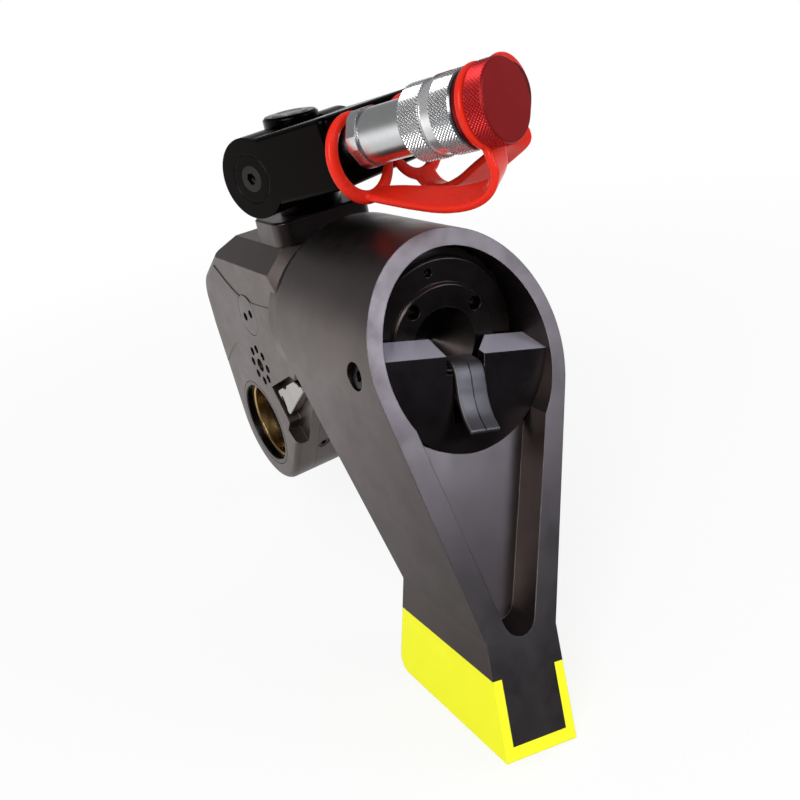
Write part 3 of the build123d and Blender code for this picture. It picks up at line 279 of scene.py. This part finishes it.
def feed(tree, socket, value):
    """Sets a socket to a value, or links another node's output to it."""
    if isinstance(value, bpy.types.NodeSocket):
        tree.links.new(value, socket)
    else:
        socket.default_value = value


def add_node(tree, kind, inputs, **settings):
    """A shader node; each input is a value or another node's output."""
    node = tree.nodes.new(kind)
    for key, value in settings.items():
        setattr(node, key, value)
    for socket, value in inputs.items():
        feed(tree, node.inputs[socket], value)
    return node


def math_node(tree, operation, first, second=0.0, clamp=False):
    """One sum on two values."""
    node = add_node(tree, "ShaderNodeMath", {0: first, 1: second}, operation=operation, use_clamp=clamp)
    return node.outputs[0]


def vector_node(tree, operation, inputs, output="Vector"):
    """One operation on vectors, which gives a vector or a value."""
    return add_node(tree, "ShaderNodeVectorMath", inputs, operation=operation).outputs[output]


def mapped(tree, value, low, high, new_low=0.0, new_high=1.0):
    """A value moved from one range to another and kept inside it."""
    inputs = {"Value": value, "From Min": low, "From Max": high, "To Min": new_low, "To Max": new_high}
    return add_node(tree, "ShaderNodeMapRange", inputs).outputs["Result"]


def mixed(tree, factor, first, second):
    """Two colours mixed by a factor."""
    node = tree.nodes.new("ShaderNodeMix")
    node.data_type = "RGBA"
    sockets = {socket.identifier: socket for socket in node.inputs}
    for identifier, value in (("Factor_Float", factor), ("A_Color", first), ("B_Color", second)):
        feed(tree, sockets[identifier], value)
    return next(socket for socket in node.outputs if socket.identifier == "Result_Color")


def noise(tree, place, size, detail, roughness):
    """Noise whose features are about one size, in metres."""
    inputs = {"Vector": place, "Scale": 1.0 / size, "Detail": detail, "Roughness": roughness}
    return add_node(tree, "ShaderNodeTexNoise", inputs).outputs[0]


def bumped(tree, height, distance, normal):
    """A surface direction tilted by a height."""
    inputs = {"Height": height, "Distance": distance, "Normal": normal}
    return add_node(tree, "ShaderNodeBump", inputs).outputs[0]


def lathe_marks(tree, place, origin, axis):
    """Fine rings round an axis, on the turned faces and on the turned sides alike."""
    arm = vector_node(tree, "SUBTRACT", {0: place, 1: origin})
    length = vector_node(tree, "DOT_PRODUCT", {0: arm, 1: axis}, "Value")
    foot = vector_node(tree, "SCALE", {0: axis, "Scale": length})
    spoke = vector_node(tree, "SUBTRACT", {0: arm, 1: foot})
    radius = vector_node(tree, "LENGTH", {0: spoke}, "Value")
    inputs = {"W": math_node(tree, "ADD", length, radius), "Scale": 1.0 / lathe_pitch, "Detail": lathe_detail}
    return add_node(tree, "ShaderNodeTexNoise", inputs, noise_dimensions="1D").outputs[0]


def lit_top_share(tree, place, direction, level):
    """Where a face looks along a direction and lies past a level on it, from 0 to 1; this share is painted
    lighter as a painted highlight.
    """
    height = vector_node(tree, "DOT_PRODUCT", {0: place, 1: direction}, "Value")
    over = mapped(tree, height, level - lit_top_blur, level + lit_top_blur)
    normal = add_node(tree, "ShaderNodeNewGeometry", {}).outputs["True Normal"]
    slope = vector_node(tree, "DOT_PRODUCT", {0: normal, 1: direction}, "Value")
    return math_node(tree, "MULTIPLY", mapped(tree, slope, *lit_top_slope), over)


def shade(colour, factor):
    """A colour made lighter or darker, with full alpha."""
    return tuple(min(1.0, channel * factor) for channel in colour) + (1.0,)


def finish(
    name, colour, roughness, metallic=1.0, grain=0.0006, depth=0.00001, mottle=0.12, spread=0.06, edge_wear_and_highlight=None,
    edge_wear_and_highlight_share=0.5, edge=0.0004, lathe=None, lathe_depth=0.000008, specular=0.5, lit_top=None,
    lit_top_colour=None, groove_shade=None,
):
    """A material with cloudy colour, uneven gloss, fine grain, turning marks, edges lighter as wear and
    painted highlight, painted shade in grooves and painted light on lit tops.
    """
    material = bpy.data.materials.new(name)
    material.use_nodes = True
    tree = material.node_tree
    shader = tree.nodes["Principled BSDF"]
    place = add_node(tree, "ShaderNodeTexCoord", {}).outputs["Object"]
    cloud = mapped(tree, noise(tree, place, patch_size, *cloud_noise), *cloud_range)
    surface = mixed(tree, cloud, shade(colour, 1 - mottle), shade(colour, 1 + mottle))
    soft = add_node(tree, "ShaderNodeBevel", {"Radius": edge}, samples=bevel_samples).outputs[0]
    # Convex edges painted lighter in broken patches: partly real edge wear, partly painted highlight where
    # edges catch the light
    if edge_wear_and_highlight:
        flat = add_node(tree, "ShaderNodeNewGeometry", {}).outputs["True Normal"]
        bend = vector_node(tree, "DOT_PRODUCT", {0: soft, 1: flat}, "Value")
        broken = mapped(tree, noise(tree, place, wear_and_highlight_patch, *wear_and_highlight_noise), *wear_and_highlight_break)
        rub_and_highlight = math_node(tree, "MULTIPLY", mapped(tree, bend, *wear_and_highlight_bend), broken)
        share = math_node(tree, "MULTIPLY", rub_and_highlight, edge_wear_and_highlight_share, clamp=True)
        surface = mixed(tree, share, surface, edge_wear_and_highlight + (1.0,))
    shader.inputs["Metallic"].default_value = metallic
    # Low-pointiness hollows painted darker: painted shade in the knurl grooves
    if groove_shade:
        height = add_node(tree, "ShaderNodeNewGeometry", {}).outputs["Pointiness"]
        surface = mixed(tree, mapped(tree, height, *groove_shade_range), groove_shade + (1.0,), surface)
    # Faces looking up and past the level get a lighter, less metallic colour: a painted highlight of lit tops
    if lit_top:
        lit_face = lit_top_share(tree, place, *lit_top)
        surface = mixed(tree, lit_face, surface, lit_top_colour + (1.0,))
        feed(tree, shader.inputs["Metallic"], mapped(tree, lit_face, 0.0, 1.0, metallic, lit_top_metallic))
    feed(tree, shader.inputs["Base Color"], surface)
    smear = noise(tree, place, smear_size, *smear_noise)
    gloss = mapped(tree, smear, *cloud_range, max(least_roughness, roughness - spread), roughness + spread)
    feed(tree, shader.inputs["Roughness"], gloss)
    normal = bumped(tree, noise(tree, place, grain, *grain_noise), depth, soft)
    if lathe:
        normal = bumped(tree, lathe_marks(tree, place, *lathe), lathe_depth, normal)
    feed(tree, shader.inputs["Normal"], normal)
    shader.inputs["Specular IOR Level"].default_value = specular
    return material


def new_piece(name, points, faces, body, material, replaced=(), smooth=False):
    """A mesh piece that rides on a body and takes the place of CAD nodes."""
    mesh = bpy.data.meshes.new(name)
    mesh.from_pydata([tuple(point) for point in points], [], faces)
    mesh.update()
    mesh.shade_smooth() if smooth else mesh.shade_flat()
    piece = bpy.data.objects.new(name, mesh)
    bpy.context.scene.collection.objects.link(piece)
    mesh.materials.append(material)
    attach(piece, body)
    if replaced:
        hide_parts(*replaced)
    return piece


def knurl(radius, start, finish_at):
    """Rows of a knurled band; each is a place along the axis and a radius for every column."""
    step = 2 * math.pi * radius / knurl_columns
    count = max(knurl_cell, round((finish_at - start) / step))
    columns = np.arange(knurl_columns)
    rows = []
    for row in range(count + 1):
        first = ((columns + row) % knurl_cell) / knurl_cell
        second = ((columns - row) % knurl_cell) / knurl_cell
        height = np.minimum(1 - np.abs(2 * first - 1), 1 - np.abs(2 * second - 1))
        rows.append((start + (finish_at - start) * row / count, radius - knurl_depth * (1 - height)))
    return rows


def turned_mesh(side, profile, closed):
    """Points and faces of a piece turned round a coupler's axis; open ends get a flat disc."""
    rows = []
    for *places, radius in profile:
        if len(places) == 2:
            rows += knurl(radius, *places)
        else:
            rows.append((places[0], np.full(knurl_columns, float(radius))))
    angles = np.arange(knurl_columns) * 2 * math.pi / knurl_columns
    points = [
        on_coupler(side, place, radius * math.cos(angle), radius * math.sin(angle))
        for place, radii in rows for angle, radius in zip(angles, radii)
    ]
    faces = []
    for row in range(len(rows) if closed else len(rows) - 1):
        low, high = row * knurl_columns, ((row + 1) % len(rows)) * knurl_columns
        for column in range(knurl_columns):
            following = (column + 1) % knurl_columns
            faces.append((low + column, high + column, high + following, low + following))
    if not closed:
        faces.append(tuple(range(knurl_columns)))
        last = (len(rows) - 1) * knurl_columns
        faces.append(tuple(range(last + knurl_columns - 1, last - 1, -1)))
    return points, faces


def add_turned(node, side, profile, closed, joint, material):
    """A knurled piece in place of a CAD node, on the body that a joint moves."""
    points, faces = turned_mesh(side, profile, closed)
    new_piece(node + "_knurled", points, faces, joints[joint]["child"], material, (node,))


def rounded_section(half_w, half_t, corner):
    """Points round a strap's section with rounded corners, across its width and its thickness."""
    points = []
    for index, (sx, sy) in enumerate(((1, 1), (-1, 1), (-1, -1), (1, -1))):
        for step in range(corner_points):
            angle = math.pi / 2 * (index + step / (corner_points - 1))
            x = sx * (half_w - corner) + corner * math.cos(angle)
            y = sy * (half_t - corner) + corner * math.sin(angle)
            points.append((x, y))
    return points


def swept(points, faces, places, section, closed):
    """Adds a sweep to a mesh: places are (centre, width direction, thickness direction), scaled as wanted."""
    start = len(points)
    for centre, wide, thick in places:
        for x, y in section:
            points.append(centre + (wide * x + thick * y) * MM)
    count = len(section)
    for index in range(len(places) if closed else len(places) - 1):
        low, high = start + index * count, start + ((index + 1) % len(places)) * count
        for column in range(count):
            following = (column + 1) % count
            faces.append((low + column, low + following, high + following, high + column))
    if not closed:
        faces.append(tuple(range(start + count - 1, start - 1, -1)))
        last = start + (len(places) - 1) * count
        faces.append(tuple(range(last, last + count)))


def smooth_path(knots, steps=10):
    """Points of a smooth curve through the knots."""
    knots = [Vector(knot) for knot in knots]
    ends = [knots[0] * 2 - knots[1]] + knots + [knots[-1] * 2 - knots[-2]]
    path = []
    for index in range(1, len(ends) - 2):
        before, here, there, after = ends[index - 1:index + 3]
        for step in range(steps):
            t = step / steps
            path.append(0.5 * (
                2 * here + (there - before) * t + (2 * before - 5 * here + 4 * there - after) * t * t
                + (3 * here - before - 3 * there + after) * t ** 3
            ))
    path.append(knots[-1])
    return path


def heading_at(path, index):
    """The direction of a path at one of its points."""
    ahead = path[min(index + 1, len(path) - 1)] - path[max(index - 1, 0)]
    ahead.normalize()
    return ahead


def add_ring(points, faces, side, inner, outer, start, width, drop, swell):
    """Adds a tether's ring round a coupler to a mesh; it can hang lower and swell towards its strap."""
    places = []
    for step in range(round_steps):
        angle = 2 * math.pi * step / round_steps
        right, up = math.cos(angle), math.sin(angle)
        towards_strap = min(1.0, max(0.0, swell_middle - swell_across * side * right - swell_up * up))
        grown = swell * towards_strap
        middle = (inner + outer + grown) / 2
        centre = on_coupler(side, start + width / 2, middle * right, middle * up - drop)
        spoke = (-across * right + above * up) * (1 + grown / (outer - inner))
        places.append((centre, along, spoke))
    swept(points, faces, places, rounded_section(width / 2, (outer - inner) / 2, ring_corner), True)


def add_tether(node, side, cap_ring_at, strap, material):
    """A moulded tether: the loose ring on the neck, the strap, and the ring in the cap's groove."""
    points, faces = [], []
    add_ring(points, faces, side, **neck_ring)
    add_ring(points, faces, side, start=cap_ring_at, **cap_ring)
    path = smooth_path(strap)
    places = []
    for index, (d, u) in enumerate(path):
        ahead = heading_at(path, index)
        belly = math.sin(math.pi * (index / (len(path) - 1)))
        narrow = strap_ends + strap_fuller * belly ** strap_fullness
        lean = side * strap_twist * belly
        thick = along * ahead.y - above * ahead.x
        wide = across * math.cos(lean) + thick * math.sin(lean)
        thick = thick * math.cos(lean) - across * math.sin(lean)
        places.append((on_block(d, side * coupler_across, u), wide * narrow, thick))
    swept(points, faces, places, rounded_section(strap_half_w, strap_t / 2, strap_corner), False)
    block_body = joints["collar_slide"]["parent"]
    piece = new_piece(node + "_moulded", points, faces, block_body, material, (node,), True)
    fuse = piece.modifiers.new("fuse", "REMESH")
    fuse.mode = "VOXEL"
    fuse.voxel_size = tether_voxel * MM
    soften = piece.modifiers.new("soften", "SMOOTH")
    soften.factor = tether_softness
    soften.iterations = tether_soft_rounds
    bpy.context.view_layer.update()
    depsgraph = bpy.context.evaluated_depsgraph_get()
    fused = bpy.data.meshes.new_from_object(piece.evaluated_get(depsgraph))
    piece.modifiers.clear()
    piece.data = fused
    fused.shade_smooth()


def add_sky():
    """A white background that lights the object evenly, and that polished metal mirrors by its direction."""
    world = bpy.data.worlds.new("world")
    bpy.context.scene.world = world
    world.use_nodes = True
    sky = world.node_tree
    background = sky.nodes["Background"]
    rays = add_node(sky, "ShaderNodeLightPath", {}).outputs
    heading = add_node(sky, "ShaderNodeTexCoord", {}).outputs["Generated"]
    heading = add_node(sky, "ShaderNodeSeparateXYZ", {"Vector": heading}).outputs
    ahead = mapped(sky, heading["X"], *sky_ahead)
    overhead = mapped(sky, heading["Z"], *sky_overhead)
    surround = math_node(sky, "MULTIPLY", ahead, overhead)
    mirrored = math_node(sky, "MAXIMUM", rays["Is Glossy Ray"], rays["Is Transmission Ray"])
    lighting = add_node(sky, "ShaderNodeMix", {0: mirrored, 2: sky_light, 3: surround}).outputs[0]
    seen = add_node(sky, "ShaderNodeMix", {0: rays["Is Camera Ray"], 2: lighting, 3: 1.0}).outputs[0]
    feed(sky, background.inputs["Strength"], seen)
    background.inputs["Color"].default_value = white


def floor_paper():
    """White paper that keeps the object's shadow near it and meets the background far away."""
    material = bpy.data.materials.new("floor")
    material.use_nodes = True
    tree = material.node_tree
    shader = tree.nodes["Principled BSDF"]
    shader.inputs["Base Color"].default_value = floor_colour
    shader.inputs["Roughness"].default_value = floor_roughness
    rays = add_node(tree, "ShaderNodeLightPath", {}).outputs
    spot = add_node(tree, "ShaderNodeTexCoord", {}).outputs["Object"]
    spot_x = add_node(tree, "ShaderNodeSeparateXYZ", {"Vector": spot}).outputs["X"]
    reflected = mapped(tree, spot_x, *floor_mirrored)
    shown = add_node(tree, "ShaderNodeMix", {0: rays["Is Camera Ray"], 2: reflected, 3: 1.0}).outputs[0]
    glow = add_node(tree, "ShaderNodeEmission", {"Color": white, "Strength": shown}).outputs[0]
    bare = mapped(tree, vector_node(tree, "LENGTH", {0: spot}, "Value"), *floor_bare)
    glossy = math_node(tree, "MAXIMUM", rays["Is Glossy Ray"], rays["Is Transmission Ray"])
    plainly = math_node(tree, "MULTIPLY", rays["Is Camera Ray"], bare)
    share = math_node(tree, "MAXIMUM", plainly, glossy)
    blend = add_node(tree, "ShaderNodeMixShader", {0: share, 1: shader.outputs[0], 2: glow}).outputs[0]
    feed(tree, tree.nodes["Material Output"].inputs["Surface"], blend)
    return material


def add_floor():
    """The plain pale floor just under the object."""
    mesh = bpy.data.meshes.new("floor")
    level = cad_low[2] - floor_drop
    corners = ((-1, -1), (1, -1), (1, 1), (-1, 1))
    mesh.from_pydata([(x * floor_reach, y * floor_reach, level) for x, y in corners], [], [(0, 1, 2, 3)])
    floor = bpy.data.objects.new("floor", mesh)
    bpy.context.scene.collection.objects.link(floor)
    mesh.materials.append(floor_paper())


# Studio: camera, lamps, background and floor
add_camera()
bpy.context.scene.view_settings.view_transform = "Standard"
add_light("key", **key_lamp)
add_light("rear", **rear_lamp)
add_sky()
add_floor()

# Looks of the CAD nodes, by slot
# Light edge colours: partly wear, partly painted highlight on edges that catch the light
steel_rub_and_highlight = (0.42, 0.41, 0.40)
looks = {
    "dark_alloy": dict(
        colour=(0.138, 0.115, 0.109), roughness=0.36, grain=0.0005, depth=0.000012, mottle=0.1,
        edge_wear_and_highlight=(0.3, 0.29, 0.28), edge_wear_and_highlight_share=0.45,
    ),
    "bronze_grey": dict(
        colour=(0.245, 0.23, 0.262), roughness=0.34, grain=0.0005, depth=0.00001, edge_wear_and_highlight=steel_rub_and_highlight,
        edge_wear_and_highlight_share=0.7,
    ),
    "dark_steel": dict(
        colour=(0.007, 0.005, 0.005), roughness=0.25, grain=0.0005, edge_wear_and_highlight=(0.13, 0.12, 0.12), edge_wear_and_highlight_share=0.5,
    ),
    "hard_steel": dict(colour=(0.5, 0.5, 0.49), roughness=0.26, grain=0.0008),
    "black_screw": dict(
        colour=(0.04, 0.038, 0.037), roughness=0.34, edge_wear_and_highlight=(0.2, 0.2, 0.2), edge_wear_and_highlight_share=0.6,
    ),
    "bronze": dict(colour=(0.63, 0.43, 0.2), roughness=0.25, grain=0.0006, mottle=0.14),
    "polished_steel": dict(
        colour=(0.72, 0.69, 0.66), roughness=0.15, spread=0.05, grain=0.0009, depth=0.000006,
    ),
    "coupler_steel": dict(
        colour=(0.82, 0.83, 0.84), roughness=0.22, metallic=0.75, spread=0.06, grain=0.0005, mottle=0.06,
    ),
    "red_anodised": dict(
        colour=(0.76, 0.03, 0.034), roughness=0.33, metallic=0.75, mottle=0.08, edge_wear_and_highlight=(0.6, 0.25, 0.22),
        edge_wear_and_highlight_share=0.35, edge=0.0002,
    ),
    "red_rubber": dict(
        colour=(0.72, 0.022, 0.009), roughness=0.26, metallic=0.0, grain=0.003, depth=0.00004, mottle=0.06,
        edge=0.0002, specular=0.22,
    ),
    "yellow_paint": dict(
        colour=(0.86, 0.87, 0.008), roughness=0.42, specular=0.3, metallic=0.0, grain=0.0011, depth=0.00002,
        mottle=0.03, edge_wear_and_highlight=(0.55, 0.5, 0.06), edge_wear_and_highlight_share=0.5,
    ),
    "seal_rubber": dict(colour=(0.03, 0.03, 0.03), roughness=0.6, metallic=0.0, grain=0.0008, depth=0.00003),
}

# Turned nodes, each with the origin and direction of its axis, for the rings of its turning marks
coupler_axes = {side: (on_coupler(side, 0, 0, 0), along) for side in (1, -1)}
drive_axis = (Vector(), y_axis)
lathes = {
    "end_cap": (barrel, x_axis),
    "left_bush": drive_axis,
    "right_bush": drive_axis,
    "left_bush_ring": drive_axis,
    "right_bush_ring": drive_axis,
    "drive_retainer": drive_axis,
    "retainer_button": drive_axis,
    "ratchet_wheel": drive_axis,
    "swivel_post": (pivot, z_axis),
    "swivel_cap": (pivot, z_axis),
    "trunnion_plugs": (pivot, across),
    "advance_coupler": coupler_axes[1],
    "return_nipple": coupler_axes[-1],
}

# What some nodes have of their own, in place of their slot's look
side_plug = dict(colour=(0.12, 0.106, 0.102), roughness=0.34)
bush_ring = dict(colour=(0.05, 0.043, 0.041))
own_looks = {
    "end_cap": dict(colour=(0.085, 0.07, 0.066), roughness=0.3),
    "left_side_plug": side_plug,
    "right_side_plug": side_plug,
    "left_bush_ring": bush_ring,
    "right_bush_ring": bush_ring,
    "square_drive": dict(colour=(0.06, 0.055, 0.053)),
    "swivel_base": dict(colour=(0.1, 0.085, 0.083), roughness=0.36),
    "advance_coupler": dict(metallic=1.0, roughness=0.27, spread=0.05),
    # Release lever: near-white light edges, a painted highlight that brings out its shape, as well as wear
    "release_lever": dict(
        colour=(0.4, 0.375, 0.36), roughness=0.24, edge_wear_and_highlight=(0.9, 0.88, 0.85), edge_wear_and_highlight_share=0.9,
    ),
    # Housing: stronger light edges, a painted highlight along its pad edges, as well as wear
    "housing": dict(edge_wear_and_highlight_share=0.8),
    "heel_cover": dict(colour=(0.128, 0.107, 0.102)),
    "reaction_arm": dict(colour=(0.142, 0.12, 0.115)),
    # Half plate: its dark body keeps its colour, and its up-facing tops get a painted highlight
    "arm_half_plate": dict(
        colour=(0.06, 0.05, 0.05), roughness=0.34, lit_top=(arm_up, barrel_end.dot(arm_up) - lit_top_below),
        lit_top_colour=(0.36, 0.34, 0.4),
    ),
    "latch_lever": dict(colour=(0.2, 0.185, 0.188), roughness=0.5, edge_wear_and_highlight_share=0.5),
}

# Nodes of one slot share a material, except those that are turned or have a look of their own
slots = {part["node"]: part["material_slot"] for part in frame["record"]["subparts"]}
made = {}
for node, piece in frame["nodes"].items():
    slot_name = slots[node]
    own = own_looks.get(node, {})
    key = (slot_name, node if node in lathes or own else "")
    if key not in made:
        made[key] = finish("_".join(filter(None, key)), lathe=lathes.get(node), **{**looks[slot_name], **own})
    piece.data.materials.clear()
    piece.data.materials.append(made[key])

# Knurled locking collar with its smooth groove; its knurl valleys are painted darker, a painted shade
add_turned(
    "coupler_collar", 1, collar_profile, True, "collar_slide",
    finish(
        "collar_zinc", colour=(0.92, 0.93, 0.95), roughness=0.2, metallic=0.85, spread=0.03, edge=0.00008,
        groove_shade=(0.15, 0.16, 0.18),
    ),
)

# Dust caps: the advance side's short head with its flange, and the return side's long sleeve; their knurl
# valleys are painted darker red, a painted shade
for node, name, side, profile, closed in (
    ("advance_cap", "cap_anodised", 1, advance_cap_profile, False),
    ("return_cap", "sleeve_anodised", -1, return_cap_profile, True),
):
    anodised = finish(
        name, lathe=coupler_axes[side], lathe_depth=0.000003, groove_shade=(0.24, 0.006, 0.008),
        **looks["red_anodised"],
    )
    add_turned(node, side, profile, closed, node + "_turn", anodised)

# Latch lever: one smooth bent strip from its eye to its tip
latch_body = joints["latch_tilt"]["child"]
eye = [
    (latch_pin[0] + latch_eye_r * math.cos(angle), latch_pin[1] + latch_eye_r * math.sin(angle))
    for angle in map(math.radians, latch_eye_angles)
]
bend = smooth_path((*eye, *latch_path), latch_steps)
places = []
for index, (x, z) in enumerate(bend):
    ahead = heading_at(bend, index)
    outward = x_axis * ahead.y - arm_up * ahead.x
    places.append((barrel_end + (x_axis * x + arm_up * z) * MM, arm_across, outward))
points, faces = [], []
swept(points, faces, places, rounded_section(latch_half_w, latch_half_t, latch_corner), False)
new_piece(
    "latch_lever_bent", points, faces, latch_body, made[("bronze_grey", "latch_lever")],
    ("latch_lever",), True,
)

# Fine parting line down the middle of the lever
line = [
    (centre + outward * latch_half_t * MM, wide, outward) for centre, wide, outward in places[-parting_rows:]
]
points, faces = [], []
swept(points, faces, line, rounded_section(parting_half_w, parting_half_t, parting_corner), False)
new_piece("latch_parting_line", points, faces, latch_body, made[("black_screw", "")])

# Disc let into the top of the swivel's cap
points, faces = [], []
for height, radius in disc_profile:
    for step in range(round_steps):
        angle = 2 * math.pi * step / round_steps
        spoke = x_axis * (radius * math.cos(angle)) + y_axis * (radius * math.sin(angle))
        points.append(Vector((pivot.x, pivot.y, cap_top)) + (spoke + z_axis * height) * MM)
for row in range(len(disc_profile) - 1):
    low, high = row * round_steps, (row + 1) * round_steps
    for step in range(round_steps):
        following = (step + 1) % round_steps
        faces.append((low + step, low + following, high + following, high + step))
faces.append(tuple(range(round_steps - 1, -1, -1)))
faces.append(tuple(range((len(disc_profile) - 1) * round_steps, len(disc_profile) * round_steps)))
new_piece(
    "swivel_cap_disc", points, faces, joints["block_tilt"]["parent"],
    finish("disc_steel", colour=(0.3, 0.29, 0.3), roughness=0.3, metallic=0.6, lathe=(pivot, z_axis)),
)

# Moulded tethers
add_tether("advance_tether", 1, advance_ring_at, advance_strap, made[("red_rubber", "")])
add_tether("return_tether", -1, return_ring_at, return_strap, made[("red_rubber", "")])
